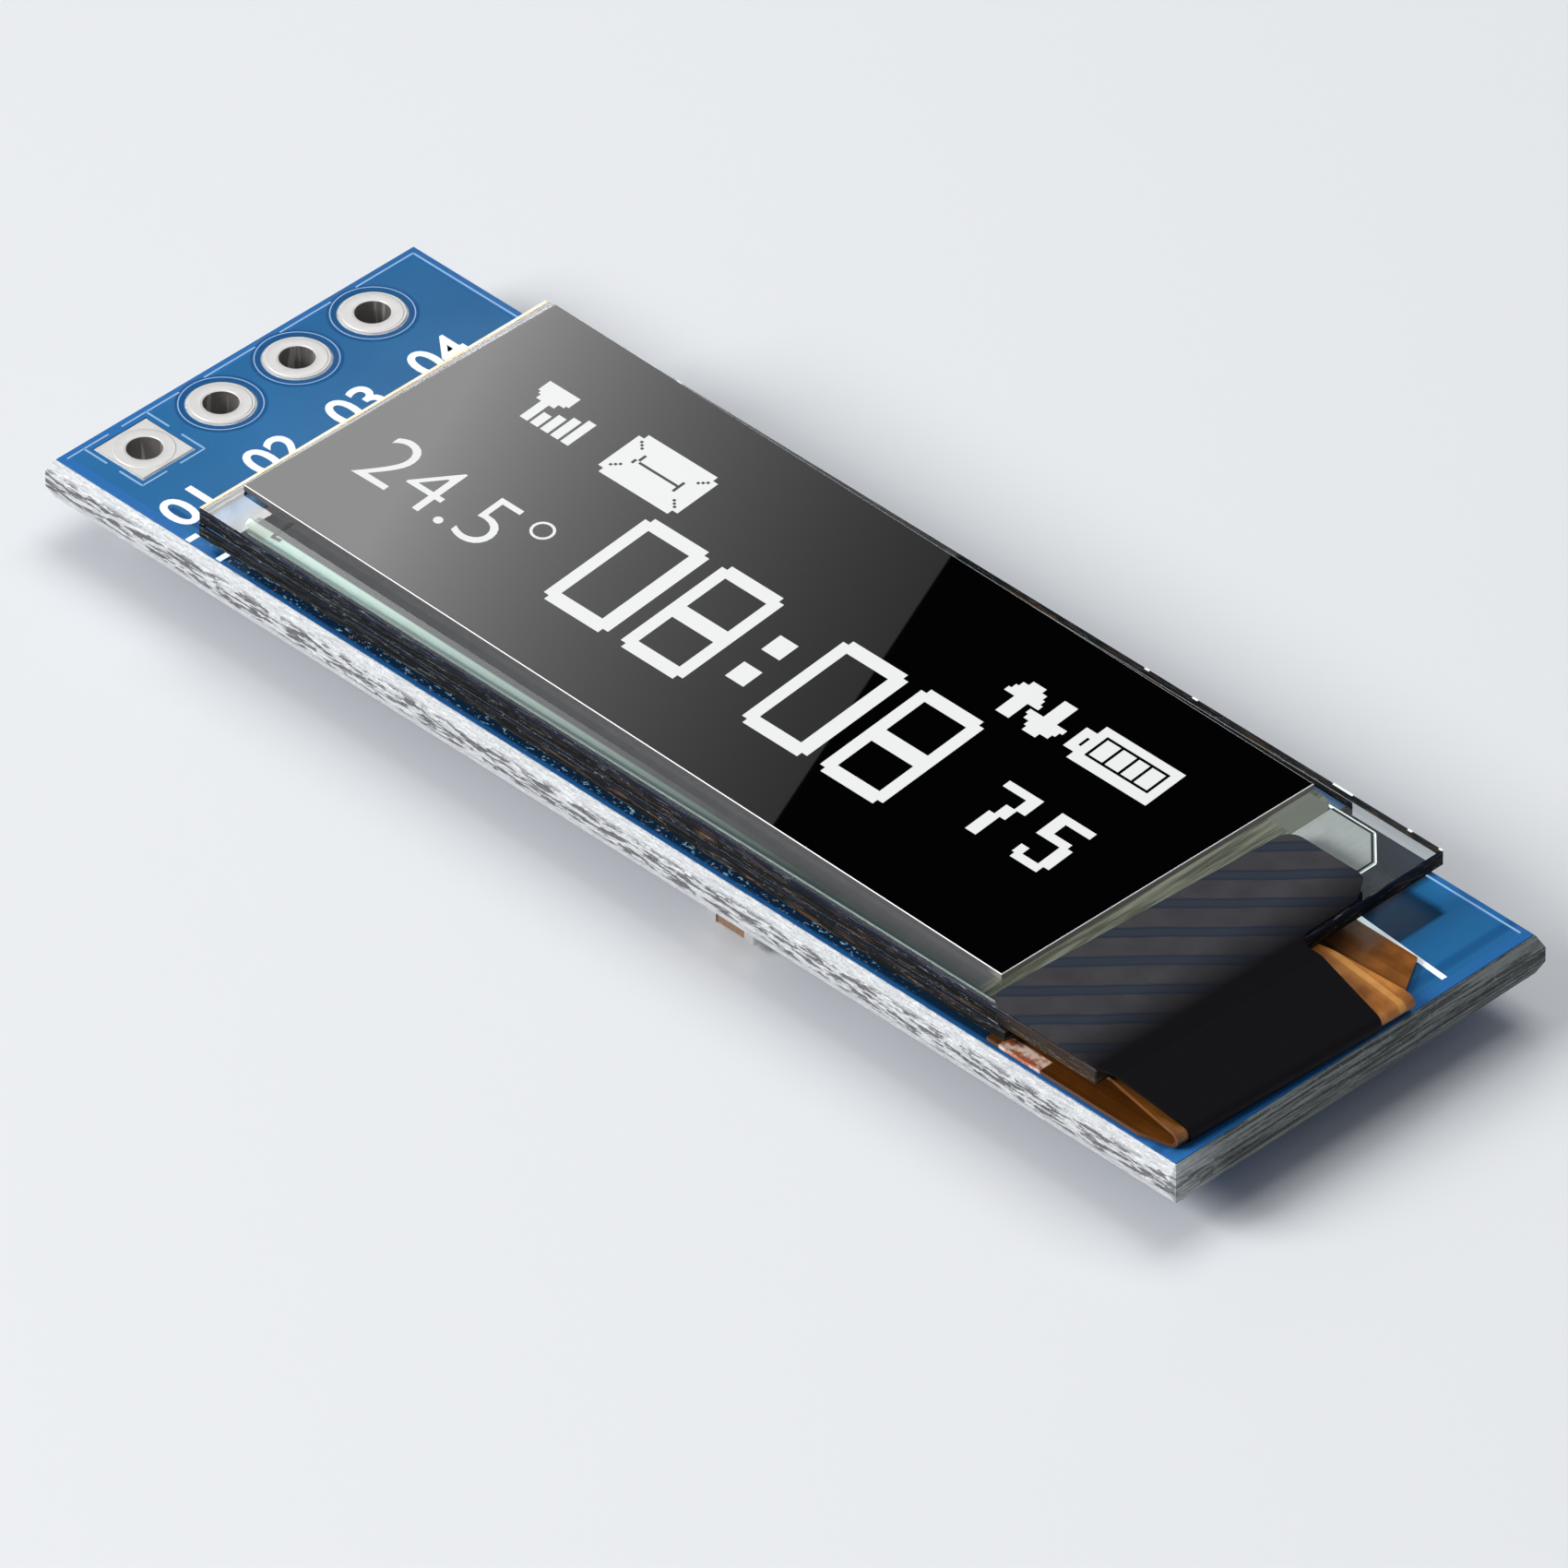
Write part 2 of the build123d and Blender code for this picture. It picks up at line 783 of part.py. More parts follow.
def chip_joints(place, size):
    """Side views of the solder at both ends of a chip part."""
    x, y, direction = place
    end = size[0] / 2
    toe = (end + pad_beyond - solder_toe_inset, -solder_film)
    peak = (end, fillet_share * size[2])
    return [solder_profile(upright(x, y, direction + turn), toe, peak, end - end_band) for turn in (0, 180)]


def foot_joints(kind, reach, foot):
    """Side views of the solder at a leaded part's feet."""
    toe = (reach + lead_solder_toe, -solder_film)
    peak = (reach, lead_thickness * 0.8)
    heel = reach - foot + lead_solder_heel
    return [solder_profile(upright(*foot_place), toe, peak, heel) for foot_place in lead_feet(kind)]


with BuildPart() as underside_solder:
    for place in capacitor_places:
        for joint in chip_joints(place, capacitor_size):
            extrude(joint, amount=capacitor_size[1] / 2 - end_chamfer, both=True)
    for place in resistor_places:
        for joint in chip_joints(place, resistor_size):
            extrude(joint, amount=resistor_size[1] / 2 - end_chamfer, both=True)
    for joint in foot_joints("regulator", regulator_lead_length, regulator_lead_foot):
        extrude(joint, amount=regulator_lead_width / 2, both=True)
    for joint in foot_joints("diode", diode_lead_length, diode_lead_foot):
        extrude(joint, amount=diode_lead_width / 2, both=True)
save(underside_solder, "underside_solder")
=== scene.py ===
"""Looks of a small display module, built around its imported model.

Lengths inside the functions are millimetres; what reaches Blender is metres.
"""

import math

import bmesh
import bpy
from bpy.props import FloatProperty, FloatVectorProperty, IntProperty, PointerProperty
from mathutils import Matrix, Vector


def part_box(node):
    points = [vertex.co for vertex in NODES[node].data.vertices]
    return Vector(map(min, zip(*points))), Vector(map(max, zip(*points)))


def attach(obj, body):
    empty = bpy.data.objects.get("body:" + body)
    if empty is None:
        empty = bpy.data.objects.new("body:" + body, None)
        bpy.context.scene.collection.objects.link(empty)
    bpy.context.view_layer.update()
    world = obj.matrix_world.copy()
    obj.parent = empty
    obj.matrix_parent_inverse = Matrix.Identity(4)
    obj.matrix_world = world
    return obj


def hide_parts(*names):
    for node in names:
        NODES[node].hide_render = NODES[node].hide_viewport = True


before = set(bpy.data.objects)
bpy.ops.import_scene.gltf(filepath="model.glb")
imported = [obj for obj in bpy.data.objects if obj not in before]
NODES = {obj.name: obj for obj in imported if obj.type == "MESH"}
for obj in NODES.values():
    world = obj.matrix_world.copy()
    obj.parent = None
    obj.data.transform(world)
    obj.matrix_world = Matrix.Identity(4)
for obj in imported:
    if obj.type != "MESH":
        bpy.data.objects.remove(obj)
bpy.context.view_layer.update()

bl_info = {
    "name": "Display Module Looks",
    "version": (1, 0, 0),
    "blender": (4, 5, 0),
    "location": "3D View > Sidebar > Display",
    "description": "Finishes, print, lit image and studio of a small display module",
    "category": "Object",
}

MM = 0.001


def box(node):
    """Lowest and highest corners of a node, in millimetres."""
    low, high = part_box(node)
    return low / MM, high / MM


MASK_LOW, MASK_HIGH = box("solder_mask_top")
UNDER_LOW, UNDER_HIGH = box("solder_mask_bottom")
GLASS_LOW, GLASS_HIGH = box("front_glass")
CAP_LOW, CAP_HIGH = box("cap_glass")
POLARIZER_LOW, POLARIZER_HIGH = box("polarizer")
TAB_LOW, TAB_HIGH = box("contact_tab")
LAMINATE_LOW, LAMINATE_HIGH = box("substrate")
BOARD_TOP = MASK_HIGH.z

# Row of header holes: its place along the board, its first hole and the step between holes.
HEADER_X = -17.75
HEADER_FIRST = -4.20
HEADER_PITCH = 2.54

# Contact film: where its seen part starts, and the leg of its cut corner.
TAB_START = 12.34
TAB_CUT = 0.8

# The rounded film's upper face lies this far below the solid's.
FACE_DROP = 0.006
DISPLAY_FACE = POLARIZER_HIGH.z - FACE_DROP

HEADER_PADS = [f"pin_pad_{n}" for n in range(1, 5)]
CAPACITORS = range(1, 9)
RESISTORS = range(1, 6)
CHIP_ENDS = [f"capacitor_{n}_ends" for n in CAPACITORS] + [f"resistor_{n}_ends" for n in RESISTORS]

# Camera: width of its sensor, side of the square image, and focal length in pixels of that image.
SENSOR = 36.0
IMAGE_SIDE = 1700
FOCAL_PIXELS = 25474.2


def length_property(name, description, millimetres):
    """A length, given in millimetres."""
    return FloatProperty(name=name, description=description, default=millimetres * MM, unit="LENGTH")


def share_property(name, description, share):
    """A share, from 0 to 1."""
    return FloatProperty(name=name, description=description, default=share, subtype="FACTOR")


def colour_property(name, description, colour):
    """A colour."""
    return FloatVectorProperty(name=name, description=description, default=colour, subtype="COLOR")


class DisplaySizes(bpy.types.PropertyGroup):
    """Sizes of what is printed, lit and laid on the module."""

    pixel_pitch: length_property("Cell pitch", "Distance between two cells of the image", 0.0875)
    pixel_fill: share_property("Cell fill", "Share of the pitch that lights up", 0.999)
    image_lean: share_property("Image lean", "How far the image leans to the left", 0.083)
    print_height: length_property("Print height", "Thickness of the board's print", 0.012)
    label_size: length_property("Label size", "Size of the pin numbers", 1.587)
    fibre_thickness: length_property("Fibre thickness", "Loose glass fibre on the cut edge", 0.020)
    fibre_seed: IntProperty(name="Fibre seed", description="Arrangement of the loose fibres", default=7)


class DisplayColours(bpy.types.PropertyGroup):
    """Main colours of the module."""

    mask: colour_property("Solder mask", "Blue of the mask", (0.012, 0.106, 0.262))
    laminate: colour_property("Laminate", "Cut edge of the board", (0.66, 0.68, 0.72))
    film: colour_property("Flex film", "Amber film of the flex", (0.27, 0.090, 0.012))
    glow: colour_property("Lit pixels", "Colour of the lit image", (0.93, 0.94, 0.945))
    floor: colour_property("Floor", "Colour of the studio floor", (0.62, 0.63, 0.65))


class Signal:
    """A number or colour on its way through a finish, so that sums are written as sums."""

    def __init__(self, finish, socket):
        self.finish = finish
        self.socket = socket

    def __add__(self, other):
        return self.finish.math("ADD", self, other)

    __radd__ = __add__

    def __sub__(self, other):
        return self.finish.math("SUBTRACT", self, other)

    def __rsub__(self, other):
        return self.finish.math("SUBTRACT", other, self)

    def __mul__(self, other):
        return self.finish.math("MULTIPLY", self, other)

    __rmul__ = __mul__

    def __truediv__(self, other):
        return self.finish.math("DIVIDE", self, other)

    def __abs__(self):
        return self.finish.math("ABSOLUTE", self)

    def __pow__(self, other):
        return self.finish.math("POWER", self, other)

    def __mod__(self, other):
        return self.finish.math("FLOORED_MODULO", self, other)

    def held(self):
        """The same number kept between 0 and 1."""
        return self.finish.math("ADD", self, 0.0, clamp=True)

    def ramp(self, low, high):
        """0 at low, 1 at high, held at both ends."""
        return ((self - low) / (high - low)).held()


class Nodes:
    """A shader tree, and short calls that add its nodes."""

    def __init__(self, owner):
        self.owner = owner
        owner.use_nodes = True
        self.tree = owner.node_tree
        self.tree.nodes.clear()

    def plug(self, socket, value):
        """Link a signal to a socket, or set the socket's value."""
        if isinstance(value, Signal):
            self.tree.links.new(value.socket, socket)
        elif hasattr(value, "__len__") and socket.type == "RGBA":
            socket.default_value = (*value[:3], 1.0)
        else:
            socket.default_value = value

    def node(self, kind, settings=None, values=None, output=0):
        """Any node: its settings first, then the values or links of its sockets."""
        made = self.tree.nodes.new(kind)
        for name, value in (settings or {}).items():
            setattr(made, name, value)
        for name, value in (values or {}).items():
            self.plug(made.inputs[name], value)
        return Signal(self, made.outputs[output])

    def math(self, operation, *values, clamp=False):
        """One sum on numbers."""
        settings = {"operation": operation, "use_clamp": clamp}
        return self.node("ShaderNodeMath", settings, dict(enumerate(values)))

    def mix(self, factor, first, second):
        """Colour between two colours."""
        return self.node("ShaderNodeMix", {"data_type": "RGBA"}, {0: factor, 6: first, 7: second}, 2)

    def blend(self, factor, first, second):
        """Surface between two surfaces."""
        return self.node("ShaderNodeMixShader", {}, {0: factor, 1: first, 2: second})

    def close(self, surface, kind="ShaderNodeOutputMaterial"):
        """End the tree with its surface, and give back what the tree belongs to."""
        out = self.tree.nodes.new(kind)
        self.plug(out.inputs["Surface"], surface)
        return self.owner


class Finish(Nodes):
    """One material: its place on the piece in millimetres, and the patterns made from it."""

    def __init__(self, name):
        super().__init__(bpy.data.materials.new(name))
        spot = self.node("ShaderNodeTexCoord", output="Object")
        self.place = self.node(
            "ShaderNodeVectorMath", {"operation": "SCALE"}, {"Vector": spot, "Scale": 1 / MM}
        )
        split = self.tree.nodes.new("ShaderNodeSeparateXYZ")
        self.plug(split.inputs[0], self.place)
        self.x, self.y, self.z = (Signal(self, socket) for socket in split.outputs)

    def noise(self, scale, detail=3.0, rough=0.5, stretch=None):
        """Cloudy noise, with each direction scaled by itself where a stretch is given."""
        place = self.place
        if stretch:
            place = self.node("ShaderNodeVectorMath", {"operation": "MULTIPLY"}, {0: place, 1: stretch})
        values = {"Vector": place, "Scale": scale, "Detail": detail, "Roughness": rough}
        return self.node("ShaderNodeTexNoise", {}, values)

    def cells(self, scale):
        """Distance to the nearest of many scattered points."""
        return self.node("ShaderNodeTexVoronoi", {}, {"Vector": self.place, "Scale": scale})

    def band(self, value, low, high, soft=0.02):
        """1 between two numbers, 0 outside them, with soft ends."""
        middle = (low + high) / 2
        half = (high - low) / 2
        return ((half - abs(value - middle)) / soft + 0.5).held()

    def patch(self, low, high, soft, soft_y=None):
        """1 inside a rectangle seen from above, given by two corners."""
        across = self.band(self.x, low[0], high[0], soft)
        return across * self.band(self.y, low[1], high[1], soft_y or soft)

    def bump(self, height, depth):
        """Relief of a depth in millimetres."""
        return self.node("ShaderNodeBump", {}, {"Height": height, "Distance": depth * MM, "Strength": 1.0})

    def shell(self, **values):
        """Principled surface. Names of sockets are written with underscores."""
        sockets = {name.replace("_", " "): value for name, value in values.items()}
        return self.node("ShaderNodeBsdfPrincipled", {}, sockets)

    def surface(self, **values):
        """The whole finish from one principled surface."""
        return self.close(self.shell(**values))


def times(colour, *shares):
    """Colour with its parts multiplied, all by one share or each by its own."""
    return [part * share for part, share in zip(colour, shares * 3)]


def spread(across, along):
    """Length of the long side of a right angle, from its two short sides."""
    return (across * across + along * along) ** 0.5


def laminate_finish(name, colour):
    """Woven glass laminate: torn fibres along the sides, darker layers across the ends, darkened further
    as painted shade.
    """
    f = Finish(name)
    bundles = f.noise(1.0, 4.0, 0.62, (1.3, 1.3, 9.0))
    strands = f.noise(1.0, 3.0, 0.6, (3.2, 3.2, 42.0))
    crumbs = f.noise(11.0, 4.0, 0.65)
    layers = f.noise(1.0, 3.0, 0.6, (0.35, 0.35, 15.0))
    middle = f.band(f.z, 1.46, 2.04, 0.14)
    gaps = bundles.ramp(0.50, 0.55) * middle * strands.ramp(0.36, 0.48)
    pits = crumbs.ramp(0.56, 0.66) * strands.ramp(0.45, 0.60)
    # Painted shade: the end faces, mostly the right-hand one, take a much darker layered colour, less dark
    # towards the near side.
    ends = abs(f.x).ramp(18.93, 18.99) * (f.x * 0.5 + f.y * 0.2).ramp(-9.2, -8.4)
    ends = ends * (0.45 + f.y.ramp(-6.1, -4.4) * 0.55)
    bright = [min(0.94, c * 1.36) for c in colour]
    pale = f.mix(strands.ramp(0.30, 0.70), times(colour, 0.72), bright)
    base = f.mix(pits * 0.55, pale, times(colour, 0.42))
    base = f.mix(gaps * 0.88, base, (0.085, 0.080, 0.098))
    stripes = (layers + (strands - 0.5) * 0.35).ramp(0.42, 0.58)
    dark = f.mix(stripes, (0.030, 0.034, 0.036), (0.225, 0.250, 0.245))
    dark = f.mix(crumbs.ramp(0.58, 0.68) * 0.5, dark, (0.34, 0.37, 0.37))
    rise = strands * 0.6 + crumbs * 0.9 + bundles * 0.5 - gaps * 0.9 + layers * ends
    return f.surface(
        Base_Color=f.mix(ends, base, dark),
        Roughness=0.50 + crumbs * 0.25,
        Normal=f.bump(rise, 0.085),
        Specular_IOR_Level=0.4,
    )


def mask_finish(name, colour, under=False):
    """Glossy solder mask: copper ground shows through it paler, clearances show darker. On the top side,
    painted shade and shadow under and beside the panel, and painted glints.
    """
    f = Finish(name)
    drift = f.noise(0.35, 2.0)
    peel = f.noise(9.0, 2.0)
    dust = f.noise(38.0, 1.0)
    low, high = (UNDER_LOW, UNDER_HIGH) if under else (MASK_LOW, MASK_HIGH)
    inner = f.patch((low.x + 0.30, low.y + 0.28), (high.x - 0.30, high.y - 0.28), 0.05)
    gaps = 0.0
    for row in range(1, 4):
        reach = spread(f.x - HEADER_X, f.y - (HEADER_FIRST + row * HEADER_PITCH))
        gaps = gaps + f.band(reach, 0.90, 1.14, 0.05)
    if under:
        for y, half in ((-5.2, 0.13), (-0.6, 0.11), (2.2, 0.12), (5.5, 0.13)):
            gaps = gaps + f.patch((-15.0, y - half), (15.0, y + half), 0.05, 0.03) * 0.8
        for x in (-14.6, -10.4, -6.3, -2.6, 2.3, 6.2, 10.1, 14.4):
            gaps = gaps + f.patch((x - 0.1, -4.6), (x + 0.1, 4.9), 0.03, 0.05) * 0.8
    else:
        # Painted shadow beside the glass ledge, laid in with the clearances.
        gaps = gaps + f.patch((14.2, 3.9), (16.75, 5.2), 0.03) * 0.55
        gaps = gaps + f.patch((-15.6, -5.45), (13.0, -5.28), 0.05, 0.03)
    gaps = gaps.held()
    copper = f.mix(drift.ramp(0.35, 0.65) * 0.35, colour, [c * 1.25 + 0.01 for c in colour])
    bare = times(colour, 0.35, 0.48, 0.62)
    margin = f.mix(1 - inner, copper, times(colour, 1.6, 1.15, 1.3))
    base = f.mix(gaps * 0.75, margin, bare)
    base = f.mix(dust.ramp(0.70, 0.76) * 0.10, base, (0.55, 0.65, 0.72))
    if not under:
        base = f.mix(f.y.ramp(-2.0, 4.5) * 0.28, base, times(colour, 0.62))
        # Painted shade along the near strip under the panel's glass edge.
        run = f.band(f.x, -13.4, 13.0, 0.8) * (1 - f.y.ramp(-5.7, -5.5))
        base = f.mix(run * 0.55, base, (0.003, 0.035, 0.130))
        base = f.mix(f.band(f.x, 18.15, 18.45, 0.12) * 0.55, base, bare)
        # Painted cast shadow beside the glass ledge.
        painted_cast_shadow = f.patch((15.3, 2.90), (16.95, 5.08), 0.10, 0.16)
        base = f.mix(painted_cast_shadow * 0.92, base, (0.002, 0.019, 0.048))
        # Painted shade under the glass ledge: nearly black.
        ledge = f.band(f.x, 13.0, 15.75, 0.25) * f.y.ramp(2.4, 2.8)
        base = f.mix(ledge * 0.92, base, (0.005, 0.007, 0.011))
        # Painted shade under the panel's near edge.
        near = f.patch((-13.6, -5.86), (13.4, -4.0), 0.4, 0.08)
        base = f.mix(near * 0.88, base, (0.004, 0.010, 0.020))
        # Painted glints on the shaded near strip: pale blue, brown in patches.
        flecks = f.noise(10.0, 3.0, 0.6, (0.8, 1.4, 1.0))
        glints = flecks.ramp(0.60, 0.64) * f.patch((-13.5, -5.85), (9.5, -5.0), 2.0, 0.1)
        warm_glint_share = f.noise(2.2, 2.0).ramp(0.52, 0.60)
        base = f.mix(glints * 0.8, base, f.mix(warm_glint_share, (0.30, 0.52, 0.72), (0.34, 0.17, 0.07)))
    return f.surface(
        Base_Color=base,
        Roughness=0.20 + peel * 0.08,
        Coat_Weight=0.06,
        Coat_Roughness=0.10,
        Specular_IOR_Level=0.14,
        Normal=f.bump(peel * 0.35 + inner * 0.5 - gaps * 0.6, 0.008),
    )


def metal_finish(name, colour, rough=0.28, wave=6.0, depth=0.004, grime=0.2, barrels=False):
    """Tinned or plated metal with cloudy roughness and small dents; inside the header's holes, painted
    shade with painted highlight streaks.
    """
    f = Finish(name)
    cloud = f.noise(wave, 3.0)
    fine = f.noise(wave * 5.0, 2.0, 0.6)
    base = f.mix(cloud.ramp(0.4, 0.75) * grime, colour, times(colour, 0.62))
    metallic = 1.0
    if barrels:
        half = HEADER_PITCH / 2
        across = (f.y - HEADER_FIRST + half) % HEADER_PITCH - half
        inside = 1 - spread(f.x - HEADER_X, across).ramp(0.452, 0.462)
        barrel_highlight_streaks = f.noise(1.0, 2.0, 0.5, (7.0, 7.0, 0.6))
        # Painted shade inside the holes' barrels, with painted highlight streaks down their walls.
        base = f.mix(inside, base, (0.30, 0.28, 0.27))
        base = f.mix(inside * barrel_highlight_streaks.ramp(0.56, 0.64) * 0.5, base, (0.95, 0.92, 0.90))
        metallic = 0.45 + inside * 0.3
    return f.surface(
        Base_Color=base,
        Metallic=metallic,
        Roughness=rough + (cloud - 0.5) * 0.22,
        Normal=f.bump(cloud * 0.7 + fine * 0.3, depth),
    )


def glass_finish(name, low, high, tint=(0.93, 0.975, 0.965)):
    """Clear display glass whose ground sides are painted near-black as painted shade and dark reflection.
    Shadows pass it, so what lies under it stays lit.
    """
    f = Finish(name)
    smear = f.noise(0.8, 3.0)
    grind = f.noise(20.0, 2.0, 0.6)
    skin = 0.034
    inner = f.patch((low.x + skin, low.y + skin), (high.x - skin, high.y - skin), 0.006)
    streak = f.noise(1.0, 3.0, 0.6, (0.8, 0.8, 14.0))
    hair = f.noise(1.0, 2.0, 0.5, (0.5, 0.5, 11.0))
    # Painted shade and reflection on the sides: near-black below, bluish higher up, brownish towards the
    # flex end, with dark streaks and pale hair lines.
    upper = f.z.ramp(low.z + 0.22, low.z + 0.38)
    dark = f.mix(upper, (0.002, 0.003, 0.003), (0.006, 0.008, 0.018))
    corner = f.x.ramp(13.0, 13.8) * (1 - f.y.ramp(-5.8, -5.0)) * 0.7
    dark = f.mix(corner, dark, (0.040, 0.026, 0.016))
    lower = f.mix(f.x.ramp(-7.0, 3.0), (0.040, 0.046, 0.055), (0.110, 0.050, 0.022))
    lines = f.mix(upper, lower, (0.030, 0.036, 0.060))
    dark = f.mix(streak.ramp(0.56, 0.64) * 0.7, dark, lines)
    dark = f.mix(f.band(hair, 0.498, 0.504, 0.004) * 0.5, dark, (0.42, 0.46, 0.50))
    clear = f.shell(
        Base_Color=tint,
        Roughness=smear.ramp(0.55, 0.8) * 0.03,
        IOR=1.51,
        Transmission_Weight=1.0,
    )
    ground = f.shell(
        Base_Color=dark,
        Roughness=0.30 + grind * 0.2,
        Specular_IOR_Level=0.04,
        Normal=f.bump(grind, 0.002),
    )
    passed = f.node("ShaderNodeBsdfTransparent", {}, {"Color": (0.80, 0.86, 0.85)})
    shadow_ray = f.node("ShaderNodeLightPath", output="Is Shadow Ray")
    body = f.blend(shadow_ray, clear, passed)
    return f.close(f.blend(1 - inner, body, ground))


def seal_finish(name):
    """Sealing paste: a pale green outer run, a dark inner run, cream at the ends and a bright rim. Towards
    the header end the outer run is painted paler as painted light, and the rim is a painted highlight.
    """
    f = Finish(name)
    drift = f.noise(2.2, 3.0)
    lines = f.noise(1.0, 3.0, 0.6, (7.0, 0.35, 1.0))
    edge = -5.16 - (f.x + 12.0).ramp(0.0, 24.0) * 0.24
    outer = ((edge - f.y) / 0.05 + 0.5).held()
    head = 1 - f.x.ramp(-12.22, -12.16)
    foot = f.x.ramp(11.9, 12.2)
    tab = f.patch((TAB_START, 3.79), (13.4, 5.19), 0.03, 0.02)
    base = f.mix(drift, (0.128, 0.108, 0.122), (0.172, 0.148, 0.164))
    # Painted light: the outer run grows paler towards the header end and is palest at the end itself.
    left = 1 - f.x.ramp(-9.0, 6.5)
    green = f.mix(drift, (0.125, 0.148, 0.138), (0.172, 0.198, 0.186))
    green = f.mix(left, green, (0.80, 0.88, 0.84))
    base = f.mix(outer, base, green)
    base = f.mix(head * outer, base, (0.74, 0.75, 0.70))
    cream = f.mix(lines.ramp(0.42, 0.58), (0.120, 0.104, 0.074), (0.320, 0.285, 0.225))
    base = f.mix(foot, base, cream)
    base = f.mix(tab, base, (0.27, 0.255, 0.225))
    # Painted highlight: a near-white line along the seal's near rim.
    line = f.patch((-12.9, -5.60), (12.9, -5.545), 0.1, 0.008)
    base = f.mix(line, base, (0.94, 0.98, 1.0))
    return f.surface(Base_Color=base, Roughness=0.45, Normal=f.bump(drift, 0.002))


def film_finish(name, dark, pale, rough):
    """Thin film whose shade drifts a little."""
    f = Finish(name)
    drift = f.noise(4.0, 4.0, 0.6)
    fine = f.noise(28.0, 2.0)
    return f.surface(
        Base_Color=f.mix(drift.ramp(0.3, 0.7), dark, pale),
        Roughness=rough + (drift - 0.5) * 0.12,
        Normal=f.bump(fine, 0.004),
    )


def tab_finish(name):
    """Contact film: pale metal oxide with faint lines across it, and a dark line of painted shadow inside
    its far edge, end and cut corner.
    """
    f = Finish(name)
    drift = f.noise(3.0, 3.0)
    line_step = 0.24
    lines = f.band(f.x % line_step, 0.0, 0.03, 0.01)
    base = f.mix(drift, (0.58, 0.55, 0.56), (0.69, 0.655, 0.66))
    base = f.mix(lines * 0.10, base, (0.20, 0.22, 0.22))
    # Painted shadow: a dark line just inside the far edge, the end and the cut corner.
    diagonal = 0.7071
    corner = (TAB_HIGH.x + TAB_HIGH.y - TAB_CUT - f.x - f.y) * diagonal
    edge = f.math("MINIMUM", f.math("MINIMUM", TAB_HIGH.x - f.x, corner), TAB_HIGH.y - f.y)
    base = f.mix(f.band(edge, 0.03, 0.09, 0.015) * 0.92, base, (0.012, 0.012, 0.012))
    return f.surface(Base_Color=base, Roughness=0.35, Metallic=0.2, Normal=f.bump(drift, 0.004))


def polarizer_finish(name):
    """Black glossy film with a pale cut edge; its side at the ledge end is painted paler as painted light.
    """
    f = Finish(name)
    speck = f.noise(26.0, 1.0)
    lip = f.z.ramp(POLARIZER_HIGH.z - 0.027, POLARIZER_HIGH.z - 0.021)
    top = f.z.ramp(POLARIZER_HIGH.z - 0.0075, POLARIZER_HIGH.z - 0.0065)
    # Painted light: the side at the ledge end is painted paler than the rest of the side.
    side = f.mix(f.x.ramp(11.9, 12.2), (0.085, 0.078, 0.085), (0.235, 0.220, 0.190))
    rim = f.mix(lip, side, (0.86, 0.88, 0.88))
    base = f.mix(top, rim, (0.0006, 0.0006, 0.0008))
    base = f.mix(speck.ramp(0.76, 0.80) * 0.02, base, (0.20, 0.20, 0.20))
    return f.surface(Base_Color=base, Roughness=0.60 - top * 0.588, IOR=1.5)


def flex_finish(name, colour):
    """Amber film over copper tracks: golden where it arches, brown where it lies under the arch; a painted
    highlight along the arch's far edge, painted shade towards the near edge and painted shadow under the
    glass ledge.
    """
    f = Finish(name)
    drift = f.noise(1.2, 3.0)
    fine = f.noise(22.0, 2.0)
    crumple = f.noise(4.0, 3.0, 0.6)
    track_step = 0.62
    tracks = f.band((f.y + 5.65) % track_step, 0.16, 0.46, 0.04)
    arch = f.z.ramp(2.52, 2.70)
    deep = f.mix(drift.ramp(0.35, 0.65), times(colour, 0.55), colour)
    gold = f.mix(drift.ramp(0.35, 0.65), (0.22, 0.070, 0.009), (0.47, 0.175, 0.027))
    # Painted highlight along the arch's far edge.
    ridge_highlight = f.band(f.y, 1.41, 1.60, 0.05)
    gold = f.mix(ridge_highlight * drift.ramp(0.25, 0.60) * 0.65, gold, (0.78, 0.42, 0.14))
    base = f.mix(arch, deep, gold)
    base = f.mix(tracks * 0.22, base, f.mix(arch, (0.20, 0.070, 0.012), (0.56, 0.24, 0.050)))
    # Painted shade towards the near edge.
    shade = (1 - f.y.ramp(-5.6, -3.5)) * 0.72
    base = f.mix(shade, base, (0.052, 0.016, 0.003))
    # Painted shadow of the glass ledge on the lower layer.
    ledge_shadow = (1 - f.x.ramp(15.9, 17.1)) * f.y.ramp(1.4, 1.7) * (1 - arch) * 0.75
    base = f.mix(ledge_shadow, base, (0.030, 0.011, 0.003))
    creased = f.mix(crumple.ramp(0.44, 0.58), (0.78, 0.62, 0.54), (0.50, 0.14, 0.06))
    bond = f.patch((13.10, -6.0), (14.45, -5.50), 0.05, 0.04) * (1 - arch)
    base = f.mix(bond * 0.9, base, creased)
    return f.surface(
        Base_Color=base,
        Metallic=tracks * 0.25,
        Roughness=0.25 + drift * 0.10,
        Coat_Weight=0.20,
        Coat_Roughness=0.06,
        Specular_IOR_Level=0.22,
        Normal=f.bump(tracks * 0.4 + fine * 0.15 + drift * 0.9, 0.012),
    )


